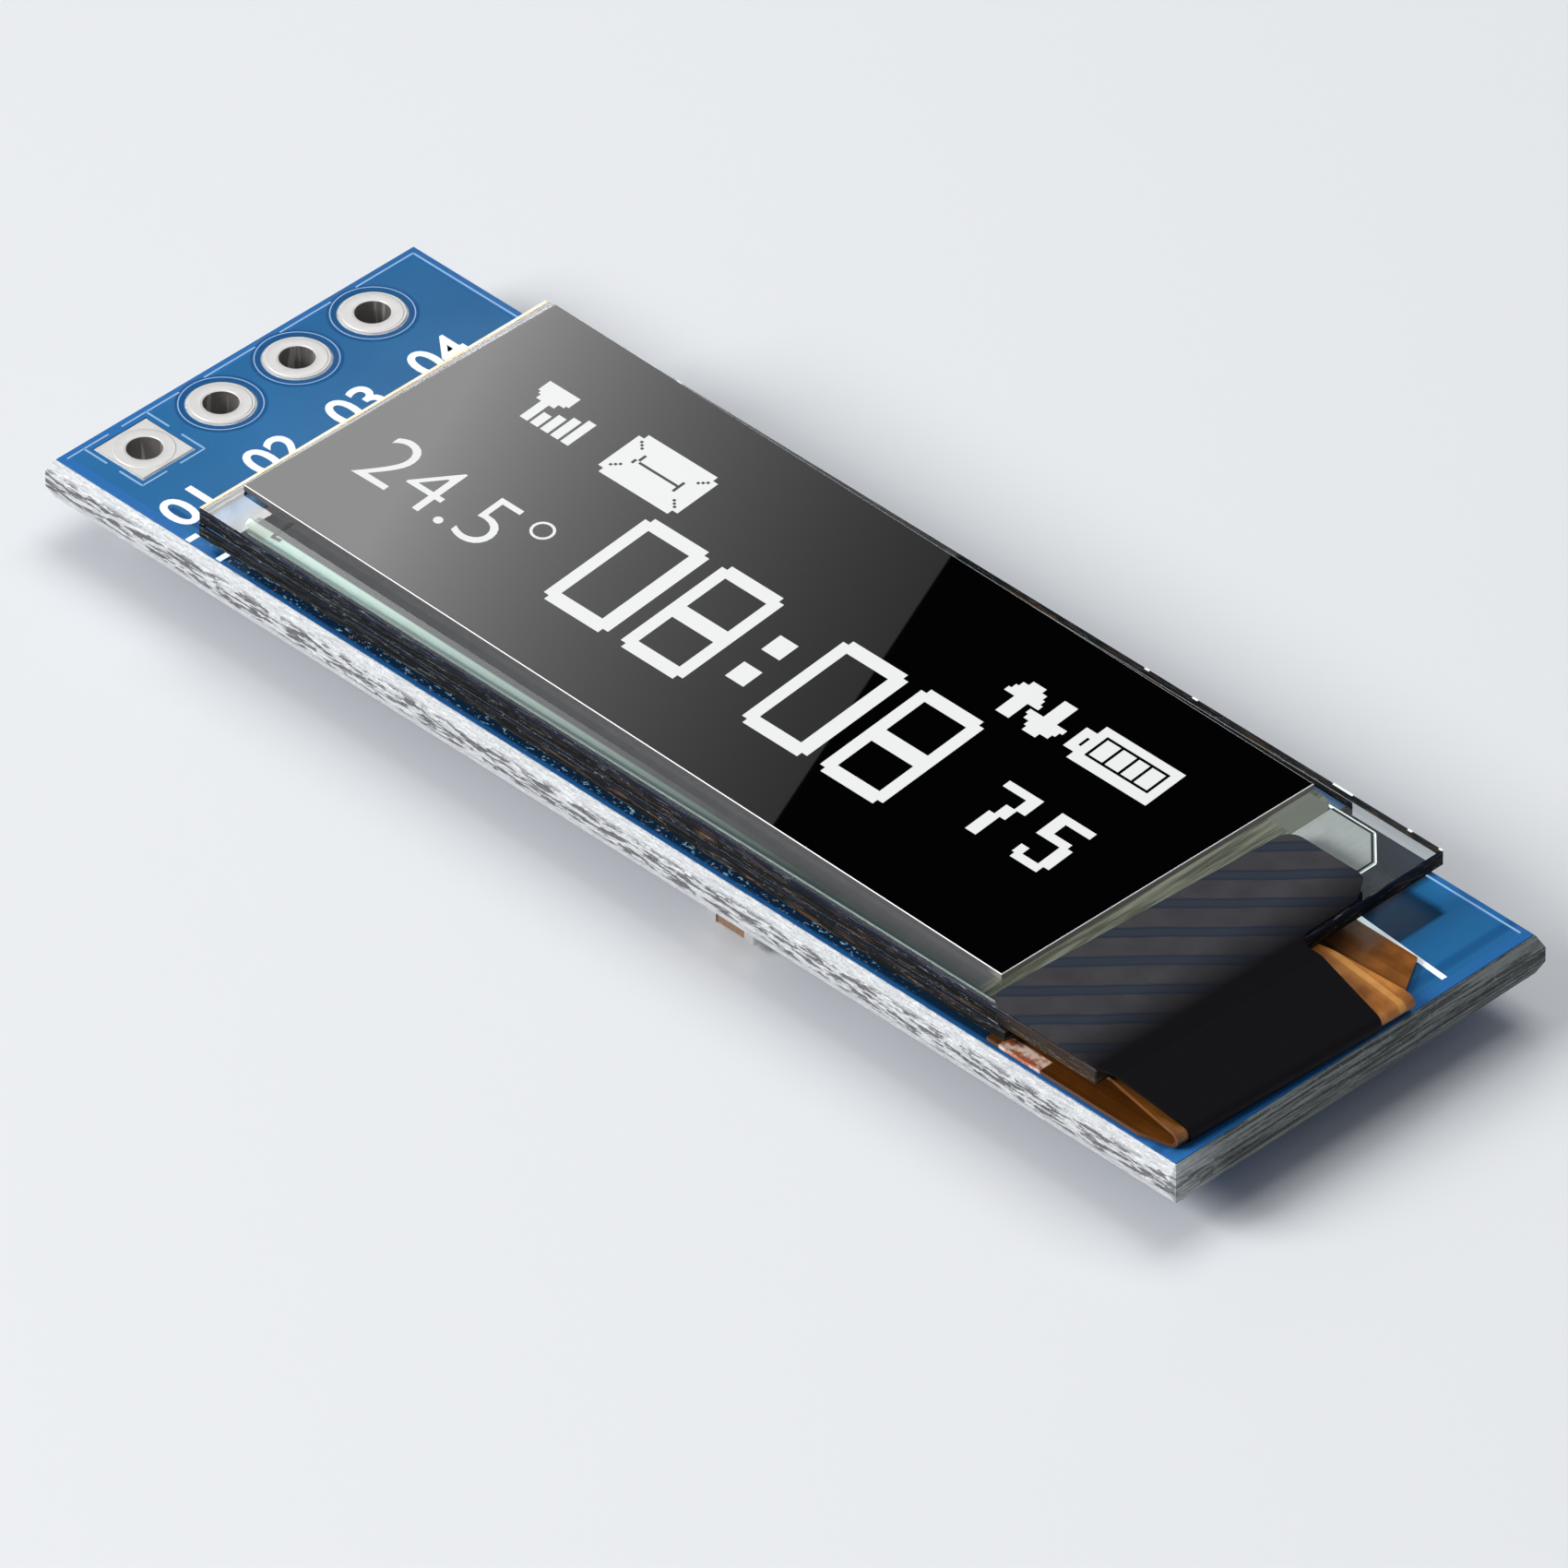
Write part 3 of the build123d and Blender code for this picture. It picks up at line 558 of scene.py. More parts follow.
def tape_finish(name):
    """Black shield tape. Slanting stripes of painted reflection show on its flat head and fade past the
    glass edge into a near-black tail, a painted shadow.
    """
    f = Finish(name)
    # Painted reflection: slanting stripes across the tape, waving a little.
    across = f.y * 0.697 - f.x * 0.717
    waver = f.noise(0.5, 2.0)
    band_step = 1.06
    place = (across + waver * 0.16 + 0.30) % band_step
    reflected_bands = f.band(place, 0.0, 0.40, 0.05)
    lines = f.band(place, 0.02, 0.09, 0.03) + f.band(place, 0.31, 0.38, 0.03)
    # Painted shadow: from x 14.9 to 16.3 the grey and the stripes give way to near black on the tail.
    head = (1 - f.x.ramp(14.9, 16.3)) * 0.97
    fine = f.noise(30.0, 2.0)
    soft = f.noise(1.4, 3.0)
    grey = f.mix(soft.ramp(0.3, 0.7), (0.034, 0.033, 0.037), (0.044, 0.042, 0.047))
    base = f.mix(reflected_bands, grey, (0.024, 0.030, 0.043))
    base = f.mix((lines * 0.6).held(), base, (0.012, 0.020, 0.036))
    base = f.mix(head, (0.0026, 0.0023, 0.0036), base)
    base = f.mix(fine.ramp(0.70, 0.76) * 0.04, base, (0.20, 0.20, 0.22))
    return f.surface(
        Base_Color=base,
        Roughness=0.42 + soft * 0.12,
        Specular_IOR_Level=0.06,
        Normal=f.bump(soft * 0.8 + fine * 0.1, 0.010),
    )


def chamfer_finish(name):
    """Ground chamfer of the glass, painted as highlights: a cream line along the header side, pale glints
    elsewhere.
    """
    f = Finish(name)
    drift = f.noise(1.6, 3.0)
    # Painted highlight colours: cream line by the header end, grey beside it, pale glints past x -11.9.
    line = 1 - f.x.ramp(GLASS_LOW.x + 0.095, GLASS_LOW.x + 0.115)
    cream = f.mix(drift.ramp(0.35, 0.65), (0.86, 0.70, 0.44), (0.88, 0.80, 0.66))
    base = f.mix(line, (0.46, 0.43, 0.42), cream)
    base = f.mix(f.x.ramp(-12.0, -11.9), base, (0.80, 0.84, 0.86))
    return f.surface(Base_Color=base, Roughness=0.30 + drift * 0.2, Normal=f.bump(drift, 0.002))


def chip_finish(name):
    """Bare silicon: smooth grey-violet with a faint block pattern."""
    f = Finish(name)
    row_step, column_step = 0.5, 0.28
    blocks = f.band(f.y % row_step, 0.0, 0.04, 0.01) + f.band(f.x % column_step, 0.0, 0.03, 0.01)
    drift = f.noise(3.0, 2.0)
    base = f.mix(drift, (0.060, 0.056, 0.072), (0.095, 0.088, 0.105))
    base = f.mix((blocks * 0.4).held(), base, (0.03, 0.03, 0.035))
    return f.surface(Base_Color=base, Roughness=0.18, Metallic=0.3, Normal=f.bump(drift, 0.002))


def grain_finish(name, dark, pale, rough=0.55, wave=18.0, depth=0.008):
    """Ceramic, paste, foam or moulded plastic: fine grains of two shades."""
    f = Finish(name)
    grains = f.noise(wave, 4.0, 0.65)
    pits = f.cells(wave * 0.8)
    base = f.mix(grains.ramp(0.35, 0.65), dark, pale)
    return f.surface(
        Base_Color=base,
        Roughness=rough + (grains - 0.5) * 0.2,
        Normal=f.bump(grains * 0.7 + pits * 0.3, depth),
    )


def print_finish(name, colour, worn=0.10, soft=0.55):
    """Screen-printed ink: matt, a little uneven, thin in places."""
    f = Finish(name)
    blot = f.noise(7.0, 4.0, 0.65)
    fine = f.noise(40.0, 2.0)
    base = f.mix(blot.ramp(0.55, 0.85) * worn, colour, times(colour, 0.72))
    return f.surface(Base_Color=base, Roughness=soft + fine * 0.2, Normal=f.bump(fine + blot, 0.004))


def glow_finish(name, colour):
    """Lit pixels: even light with a faint drift from pixel to pixel."""
    f = Finish(name)
    drift = f.noise(2.5, 2.0)
    lit = f.mix(drift * 0.06, colour, times(colour, 0.82))
    return f.surface(
        Base_Color=(0.02, 0.02, 0.02), Roughness=0.3, Emission_Color=lit, Emission_Strength=0.88
    )


def add_piece(name, mesh, finish):
    """Give a finished mesh its object, finish, body and slot."""
    piece = bpy.data.objects.new(name, mesh)
    bpy.context.scene.collection.objects.link(piece)
    if finish is not None:
        piece.data.materials.clear()
        piece.data.materials.append(finish)
    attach(piece, "root")
    return piece


def mesh_of(name, shapes):
    """One mesh of several lots of millimetre corners and faces, with the faces turned outwards."""
    vertices, faces = [], []
    for some_vertices, some_faces in shapes:
        start = len(vertices)
        vertices += some_vertices
        faces += [[start + i for i in face] for face in some_faces]
    mesh = bpy.data.meshes.new(name)
    mesh.from_pydata([tuple(c * MM for c in v) for v in vertices], [], faces)
    work = bmesh.new()
    work.from_mesh(mesh)
    bmesh.ops.recalc_face_normals(work, faces=work.faces)
    work.to_mesh(mesh)
    work.free()
    mesh.validate()
    return mesh


def prism(outline, low, high):
    """Corners and faces of an upright prism over an outline."""
    count = len(outline)
    vertices = [(x, y, low) for x, y in outline] + [(x, y, high) for x, y in outline]
    faces = [list(range(count)), [count + i for i in range(count)]]
    faces += [[i, (i + 1) % count, count + (i + 1) % count, count + i] for i in range(count)]
    return vertices, faces


def bar(x0, y0, x1, y1, width, low, high):
    """Flat bar along a line."""
    along = Vector((x1 - x0, y1 - y0)).normalized()
    side = Vector((-along.y, along.x)) * width / 2
    outline = [
        (x0 - side.x, y0 - side.y),
        (x1 - side.x, y1 - side.y),
        (x1 + side.x, y1 + side.y),
        (x0 + side.x, y0 + side.y),
    ]
    return prism(outline, low, high)


def turned(x, y, profile, steps):
    """Closed ring about an upright line, from the radius and level of each point of its section."""
    vertices, faces = [], []
    count = len(profile)
    for i in range(steps):
        c = math.cos(2 * math.pi * i / steps)
        s = math.sin(2 * math.pi * i / steps)
        vertices += [(x + radius * c, y + radius * s, level) for radius, level in profile]
        a, b = count * i, count * ((i + 1) % steps)
        for j in range(count):
            k = (j + 1) % count
            faces.append([a + j, b + j, b + k, a + k])
    return vertices, faces


def words_mesh(name, words, size, thickness, place, weight):
    """Mesh of a line of figures, laid by a matrix that works in millimetres."""
    curve = bpy.data.curves.new(name, "FONT")
    curve.body = words
    curve.size = size
    curve.extrude = thickness / 2
    curve.offset = weight
    curve.resolution_u = 5
    curve.align_x = "LEFT"
    holder = bpy.data.objects.new(name + "_curve", curve)
    bpy.context.scene.collection.objects.link(holder)
    bpy.context.view_layer.update()
    mesh = bpy.data.meshes.new_from_object(holder.evaluated_get(bpy.context.evaluated_depsgraph_get()))
    mesh.name = name
    bpy.data.objects.remove(holder)
    bpy.data.curves.remove(curve)
    mesh.transform(Matrix.Scale(MM, 4) @ place)
    return mesh


def joined(name, meshes):
    """One mesh from several."""
    work = bmesh.new()
    for mesh in meshes:
        work.from_mesh(mesh)
        bpy.data.meshes.remove(mesh)
    bmesh.ops.remove_doubles(work, verts=work.verts, dist=1e-7)
    bmesh.ops.recalc_face_normals(work, faces=work.faces)
    made = bpy.data.meshes.new(name)
    work.to_mesh(made)
    work.free()
    return made


def dress(nodes, finish):
    """Give nodes a finish through their material slots."""
    for node in nodes:
        piece = NODES[node]
        if not piece.material_slots:
            piece.data.materials.append(finish)
        for slot in piece.material_slots:
            slot.material = finish


class NodeTree:
    """A geometry tree with named inputs."""

    def __init__(self, name, inputs):
        self.tree = bpy.data.node_groups.new(name, "GeometryNodeTree")
        face = self.tree.interface
        face.new_socket("Geometry", in_out="INPUT", socket_type="NodeSocketGeometry")
        for label, kind, default in inputs:
            made = face.new_socket(label, in_out="INPUT", socket_type=kind)
            if default is not None:
                made.default_value = default
        face.new_socket("Geometry", in_out="OUTPUT", socket_type="NodeSocketGeometry")
        self.source = self.tree.nodes.new("NodeGroupInput")
        self.drain = self.tree.nodes.new("NodeGroupOutput")

    def add(self, kind, settings=None, values=None):
        made = self.tree.nodes.new(kind)
        for name, value in (settings or {}).items():
            setattr(made, name, value)
        for name, value in (values or {}).items():
            socket = made.inputs[name]
            if isinstance(value, bpy.types.NodeSocket):
                self.tree.links.new(value, socket)
            else:
                socket.default_value = value
        return made

    def settle(self, geometry, material):
        """End the tree: real meshes with their material."""
        real = self.add("GeometryNodeRealizeInstances", values={"Geometry": geometry})
        dressed = self.add(
            "GeometryNodeSetMaterial", values={"Geometry": real.outputs[0], "Material": material}
        )
        self.tree.links.new(dressed.outputs[0], self.drain.inputs[0])

    def grow(self, base, values):
        """Run the tree on a base mesh and return the plain mesh that it makes."""
        holder = bpy.data.objects.new(base.name + "_base", base)
        bpy.context.scene.collection.objects.link(holder)
        modifier = holder.modifiers.new("shape", "NODES")
        modifier.node_group = self.tree
        for item in self.tree.interface.items_tree:
            if item.item_type == "SOCKET" and item.in_out == "INPUT" and item.name in values:
                modifier[item.identifier] = values[item.name]
        bpy.context.view_layer.update()
        shown = holder.evaluated_get(bpy.context.evaluated_depsgraph_get())
        mesh = bpy.data.meshes.new_from_object(shown)
        holder.modifiers.remove(modifier)
        bpy.data.objects.remove(holder)
        return mesh


def pixel_tree():
    """One small slab for every point."""
    t = NodeTree("lit_pixels", [
        ("Cell", "NodeSocketVector", (0.17 * MM, 0.17 * MM, 0.004 * MM)),
        ("Material", "NodeSocketMaterial", None),
    ])
    cell = t.add("GeometryNodeMeshCube", values={"Size": t.source.outputs["Cell"]})
    put = t.add(
        "GeometryNodeInstanceOnPoints",
        values={"Points": t.source.outputs["Geometry"], "Instance": cell.outputs["Mesh"]},
    )
    t.settle(put.outputs[0], t.source.outputs["Material"])
    return t


def fibre_tree():
    """Short loose fibres along every edge line, each a little off its line."""
    t = NodeTree("loose_fibres", [
        ("Spacing", "NodeSocketFloat", 0.3 * MM),
        ("Thickness", "NodeSocketFloat", 0.026 * MM),
        ("Length", "NodeSocketFloat", 0.5 * MM),
        ("Scatter", "NodeSocketFloat", 0.03 * MM),
        ("Seed", "NodeSocketInt", 7),
        ("Material", "NodeSocketMaterial", None),
    ])
    inputs = t.source.outputs
    line = t.add("GeometryNodeMeshToCurve", values={"Mesh": inputs["Geometry"]})
    points = t.add(
        "GeometryNodeCurveToPoints",
        {"mode": "LENGTH"},
        {"Curve": line.outputs[0], "Length": inputs["Spacing"]},
    )
    away = t.add(
        "FunctionNodeRandomValue",
        {"data_type": "FLOAT_VECTOR"},
        {0: (-1.0, -1.0, -1.0), 1: (1.0, 1.0, 1.0), "Seed": inputs["Seed"]},
    )
    shift = t.add(
        "ShaderNodeVectorMath",
        {"operation": "SCALE"},
        {"Vector": away.outputs[0], "Scale": inputs["Scatter"]},
    )
    moved = t.add(
        "GeometryNodeSetPosition", values={"Geometry": points.outputs[0], "Offset": shift.outputs[0]}
    )
    radius = t.add("ShaderNodeMath", {"operation": "MULTIPLY"}, {0: inputs["Thickness"], 1: 0.5})
    fibre = t.add(
        "GeometryNodeMeshCylinder",
        {},
        {"Vertices": 5, "Radius": radius.outputs[0], "Depth": inputs["Length"]},
    )
    lay = t.add(
        "FunctionNodeAlignRotationToVector", {"axis": "Z"}, {"Vector": points.outputs["Tangent"]}
    )
    turn = t.add(
        "FunctionNodeRandomValue",
        {"data_type": "FLOAT_VECTOR"},
        {0: (-0.10, -0.10, 0.0), 1: (0.10, 0.10, 3.1), "Seed": inputs["Seed"]},
    )
    twist = t.add("FunctionNodeEulerToRotation", values={"Euler": turn.outputs[0]})
    tilt = t.add(
        "FunctionNodeRotateRotation",
        {"rotation_space": "LOCAL"},
        {"Rotation": lay.outputs[0], "Rotate By": twist.outputs[0]},
    )
    size = t.add(
        "FunctionNodeRandomValue",
        {"data_type": "FLOAT_VECTOR"},
        {0: (0.5, 0.5, 0.35), 1: (1.3, 1.3, 1.5), "Seed": inputs["Seed"]},
    )
    put = t.add(
        "GeometryNodeInstanceOnPoints",
        values={
            "Points": moved.outputs[0],
            "Instance": fibre.outputs["Mesh"],
            "Rotation": tilt.outputs[0],
            "Scale": size.outputs[0],
        },
    )
    t.settle(put.outputs[0], inputs["Material"])
    return t


class DISPLAY_OT_board(bpy.types.Operator):
    """Dress the laminate and both solder masks."""

    bl_idname = "display.board"
    bl_label = "Board"

    def execute(self, context):
        colours = context.scene.display_colours
        dress(["substrate"], laminate_finish("laminate", tuple(colours.laminate)))
        dress(["solder_mask_top"], mask_finish("solder_mask", tuple(colours.mask)))
        dress(["solder_mask_bottom"], mask_finish("solder_mask_under", tuple(colours.mask), under=True))
        return {"FINISHED"}


class DISPLAY_OT_fibres(bpy.types.Operator):
    """Lay loose glass fibres along the board's scored and snapped edge."""

    bl_idname = "display.fibres"
    bl_label = "Loose edge fibres"

    def execute(self, context):
        sizes = context.scene.display_sizes
        low, high = LAMINATE_LOW, LAMINATE_HIGH
        middle = (low.z + high.z) / 2
        half = (high.z - low.z) / 2
        web, bevel = 0.21, 0.17
        slope = bevel / (half - web)
        margin, end_gap, face_gap = 0.050, 0.30, 0.07
        rows = 9
        vertices, edges = [], []
        for row in range(rows):
            rise = (row / (rows - 1) * 2 - 1) * (half - face_gap)
            inset = margin + max(0.0, abs(rise) - web) * slope
            left, right = low.x + inset + end_gap, high.x - inset - end_gap
            near, far = low.y + inset, high.y - inset
            start = len(vertices)
            for x, y in ((left, near), (right, near), (right, far), (left, far)):
                vertices.append((x * MM, y * MM, (middle + rise) * MM))
            edges += [(start, start + 1), (start + 2, start + 3)]
        base = bpy.data.meshes.new("edge_lines")
        base.from_pydata(vertices, edges, [])
        mesh = fibre_tree().grow(base, {
            "Spacing": 0.33 * MM,
            "Thickness": sizes.fibre_thickness,
            "Length": 0.42 * MM,
            "Scatter": 0.030 * MM,
            "Seed": sizes.fibre_seed,
            "Material": print_finish("loose_fibre", (0.80, 0.83, 0.88), 0.3, 0.35),
        })
        mesh.name = "edge_fibres"
        add_piece("edge_fibres", mesh, None)
        return {"FINISHED"}


def header_middles():
    """Middle of each header pad, from the pads themselves."""
    boxes = [box(pad) for pad in HEADER_PADS]
    return [((low.x + high.x) / 2, (low.y + high.y) / 2) for low, high in boxes]


class DISPLAY_OT_header(bpy.types.Operator):
    """Dress the header pads and raise a thin rim of tin on each."""

    bl_idname = "display.header"
    bl_label = "Header pads"

    def execute(self, context):
        tin = metal_finish("tinned_copper", (0.93, 0.91, 0.89), 0.36, 5.0, 0.004, 0.12)
        plated = metal_finish("plated_holes", (0.73, 0.717, 0.708), 0.42, 5.0, 0.004, 0.10, barrels=True)
        solder = metal_finish("solder", (0.86, 0.87, 0.88), 0.22, 7.0, 0.010)
        dress(HEADER_PADS, plated)
        dress(["flex_pads", "underside_pads"], tin)
        dress(["flex_solder", "underside_solder"], solder)
        low, high = box("pin_pad_2")
        section = ((0.462, -0.004), (0.50, 0.006), (0.60, 0.009), (0.74, 0.006), (0.80, -0.004))
        shapes = []
        for x, y in header_middles():
            for level, out in ((high.z, 1), (low.z, -1)):
                profile = [(radius, level + out * height) for radius, height in section]
                shapes.append(turned(x, y, profile, 40))
        mesh = mesh_of("tin_rims", shapes)
        for polygon in mesh.polygons:
            polygon.use_smooth = True
        add_piece("tin_rims", mesh, plated)
        return {"FINISHED"}


class DISPLAY_OT_print(bpy.types.Operator):
    """Print the border, the pad frames, the pin numbers and the marks."""

    bl_idname = "display.print"
    bl_label = "Board print"

    def execute(self, context):
        sizes = context.scene.display_sizes
        low, high = BOARD_TOP - 0.002, BOARD_TOP + sizes.print_height / MM
        left, right, near, far = -18.78, 18.72, -5.78, 5.78
        reach, gap = 1.03, 0.22
        square, *rounds = header_middles()
        frame_x, frame_y = square
        lines = []
        for side in (-reach, reach):
            for a, b in ((-reach, -gap), (gap, reach)):
                lines.append((frame_x + a, frame_y + side, frame_x + b, frame_y + side))
                lines.append((frame_x + side, frame_y + a, frame_x + side, frame_y + b))
        shapes = []
        stops = [frame_y + reach]
        ring_top = high - 0.008
        for x, y in rounds:
            stops += [y - 0.42, y + 0.42]
            section = ((1.03, low), (1.06, low), (1.06, ring_top), (1.03, ring_top))
            shapes.append(turned(x, y, section, 48))
        stops.append(far)
        lines += [(left, a, left, b) for a, b in zip(stops[0::2], stops[1::2])]
        lines.append((left, near, left, frame_y - reach))
        lines.append((left, far, GLASS_LOW.x - 0.1, far))
        lines.append((GLASS_HIGH.x - 0.68, far, right, far))
        shapes += [bar(*line, 0.050, low, high) for line in lines]
        mesh = mesh_of("border_print", shapes)
        ink = print_finish("fine_print", (0.22, 0.38, 0.60), 0.35)
        add_piece("border_print", mesh, ink)

        shapes = [
            bar(-14.38, -5.96, -14.38, -5.62, 0.17, low, high),
            bar(-13.32, -5.96, -13.32, -5.62, 0.17, low, high),
            bar(15.60, 3.52, 18.64, 3.31, 0.16, low, high),
        ]
        marks = [mesh_of("marks", shapes)]
        turn = Matrix.Rotation(math.radians(90), 4, "Z")
        for number in range(4):
            place = Matrix.Translation((-14.80, -5.70 + 2.75 * number, (low + high) / 2)) @ turn
            words = f"0{number + 1}"
            marks.append(words_mesh("label", words, sizes.label_size / MM, high - low, place, 0.022))
        ink = print_finish("white_print", (0.80, 0.87, 0.92))
        add_piece("pin_numbers", joined("pin_numbers", marks), ink)
        return {"FINISHED"}


class DISPLAY_OT_panel(bpy.types.Operator):
    """Dress the glasses and what is sealed between them and under the ledge."""

    bl_idname = "display.panel"
    bl_label = "Display panel"

    def execute(self, context):
        finishes = {
            "front_glass": glass_finish("front_glass", GLASS_LOW, GLASS_HIGH),
            "cap_glass": glass_finish("cap_glass", CAP_LOW, CAP_HIGH, (0.80, 0.92, 0.90)),
            "seal_frame": seal_finish("seal"),
            "pixel_layer": film_finish("pixel_film", (0.010, 0.011, 0.014), (0.020, 0.022, 0.026), 0.25),
            "getter_sheet": grain_finish("getter", (0.42, 0.40, 0.36), (0.60, 0.58, 0.53), 0.7),
            "mounting_tape": grain_finish(
                "foam_tape", (0.010, 0.010, 0.011), (0.030, 0.030, 0.032), 0.8, 9.0, 0.02
            ),
            "contact_tab": tab_finish("contact_film"),
            "driver_chip": chip_finish("bare_chip"),
        }
        for node, finish in finishes.items():
            dress([node], finish)
        return {"FINISHED"}


class DISPLAY_OT_polarizer(bpy.types.Operator):
    """Cut the polarizer anew with a rounded upper edge, so that its rim catches light."""

    bl_idname = "display.polarizer"
    bl_label = "Polarizer"

    def execute(self, context):
        lift = 0.002 * MM
        rounding = 0.022 * MM
        work = bmesh.new()
        work.from_mesh(NODES["polarizer"].data)
        bmesh.ops.remove_doubles(work, verts=work.verts, dist=1e-7)
        bmesh.ops.dissolve_limit(
            work, angle_limit=0.02, verts=work.verts, edges=work.edges, delimit=set()
        )
        top = max(v.co.z for v in work.verts)
        for vertex in work.verts:
            if vertex.co.z > top - 1e-6:
                vertex.co.z = top - FACE_DROP * MM
            else:
                vertex.co.z += lift
        upper = [e for e in work.edges if all(v.co.z > top - 0.05 * MM for v in e.verts)]
        bmesh.ops.bevel(
            work, geom=upper, offset=rounding, segments=3, profile=0.5, affect="EDGES"
        )
        bmesh.ops.recalc_face_normals(work, faces=work.faces)
        mesh = bpy.data.meshes.new("polarizer_film")
        work.to_mesh(mesh)
        work.free()
        piece = add_piece("polarizer_film", mesh, polarizer_finish("polarizer_film"))
        piece.visible_shadow = False
        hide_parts("polarizer")
        return {"FINISHED"}


class DISPLAY_OT_marks(bpy.types.Operator):
    """Add the bright outline round the contact film, which is a painted highlight, the index mark by the
    seal, and the glass's chamfer strips and far-edge glints, painted as highlights.
    """

    bl_idname = "display.marks"
    bl_label = "Panel marks"

    def execute(self, context):
        low, high = TAB_LOW.z - 0.006, TAB_LOW.z - 0.001
        x, y = TAB_HIGH.x, TAB_HIGH.y
        path = [(TAB_START, y), (x - TAB_CUT, y), (x, y - TAB_CUT), (x, TAB_LOW.y)]
        shapes = [bar(*a, *b, 0.08, low, high) for a, b in zip(path, path[1:])]
        # Painted highlight: a bright line along the contact film's far edge, cut corner and end.
        bright = print_finish("bright_line", (0.88, 0.90, 0.88))
        add_piece("tab_highlight_line", mesh_of("tab_highlight_line", shapes), bright)

        low, high = GLASS_LOW.z - 0.010, GLASS_LOW.z + 0.004
        shapes = [
            bar(-12.12, -5.27, -12.18, -4.54, 0.11, low, high),
            bar(-12.16, -5.27, -11.86, -5.24, 0.11, low, high),
        ]
        dark = print_finish("dark_line", (0.03, 0.032, 0.03))
        add_piece("index_mark", mesh_of("index_mark", shapes), dark)

        # Painted highlights: cream and grey chamfer strips along the glass's header end, pale glints along
        # its far edge.
        top = GLASS_HIGH.z + 0.001
        near, far = GLASS_LOW.y + 0.03, GLASS_HIGH.y - 0.03
        shapes = []
        for inner, outer, depth in ((0.005, 0.09, 0.021), (0.12, 0.19, 0.011)):
            a, b = GLASS_LOW.x + inner, GLASS_LOW.x + outer
            shapes.append(prism([(a, near), (b, near), (b, far), (a, far)], top - depth, top))
        glints = (
            (-9.45, -9.28), (6.45, 6.60), (8.04, 8.22), (12.70, 13.35), (15.16, 15.30), (16.18, 16.29)
        )
        for start, end in glints:
            shapes.append(bar(start, far - 0.01, end, far - 0.01, 0.06, top - 0.021, top))
        mesh = mesh_of("chamfer_highlights", shapes)
        add_piece("chamfer_highlights", mesh, chamfer_finish("chamfer"))
        return {"FINISHED"}


def block(x0, x1, y0, y1):
    """Cells of a block, first and last column and row."""
    return {(i, j) for i in range(x0, x1 + 1) for j in range(y0, y1 + 1)}


def corners(x0, x1, y0, y1, size=2):
    """Square notches at the four corners of a block."""
    cells = set()
    for i in range(size):
        for j in range(size):
            cells |= {(a, b) for a in (x0 + i, x1 - i) for b in (y0 + j, y1 - j)}
    return cells


def rows(*spans):
    """Cells given row by row: first row, last row, first column, last column."""
    cells = set()
    for y0, y1, x0, x1 in spans:
        cells |= block(x0, x1, y0, y1)
    return cells


def big_figure(x, width, *openings):
    """Tall clock figure whose openings are given by first and last row."""
    cells = block(x, x + width, 0, 45) - corners(x, x + width, 0, 45)
    for low, high in openings:
        cells -= block(x + 4, x + 19, low, high)
    return cells


def antenna():
    """Aerial with four rising bars."""
    cells = rows((52, 60, -57, -55), (61, 62, -59, -53), (63, 63, -60, -51), (64, 68, -61, -50))
    for column, top in ((-53, 57), (-49, 59), (-45, 61), (-41, 63)):
        cells |= block(column, column + 2, 52, top)
    return cells


def envelope():
    """Filled envelope with its flap lines left dark."""
    cells = block(-26, 4, 50, 70) - corners(-26, 4, 50, 70) - block(-18, -4, 60, 60)
    cells -= block(-20, -20, 59, 60) | block(-19, -19, 61, 63) | block(-3, -3, 58, 62)
    for i in range(3):
        cells -= {(-22 - i, 65 + i), (-22 - i, 56 - i), (i, 65 + i), (i, 55 - i)}
    return cells


def arrow_up():
    """Small arrow that points up."""
    head = rows((60, 61, 124, 136), (62, 63, 125, 135), (64, 65, 126, 134), (66, 67, 128, 132))
    return head | block(128, 132, 52, 59)


def arrow_down():
    """Small arrow that points down."""
    head = rows((57, 58, 135, 148), (55, 56, 136, 147), (53, 54, 138, 146), (51, 52, 139, 143))
    return head | block(140, 144, 59, 67)


def battery():
    """Battery with its nub on the left and four charged cells."""
    cells = block(156, 185, 51, 67) | block(152, 156, 54, 63)
    cells -= block(159, 182, 55, 64) - block(160, 181, 56, 63)
    cells -= block(165, 165, 56, 63) | block(171, 171, 56, 63) | block(176, 176, 56, 63)
    return cells - block(155, 155, 57, 60)


def small_seven():
    """Small figure 7."""
    return rows((30, 32, 151, 163), (25, 29, 160, 163), (20, 24, 157, 160), (10, 19, 155, 158))


def small_five():
    """Small figure 5."""
    cells = rows((30, 32, 171, 183), (23, 29, 171, 174), (22, 24, 171, 181), (13, 22, 180, 183))
    return cells | rows((10, 12, 172, 181), (12, 15, 171, 173))


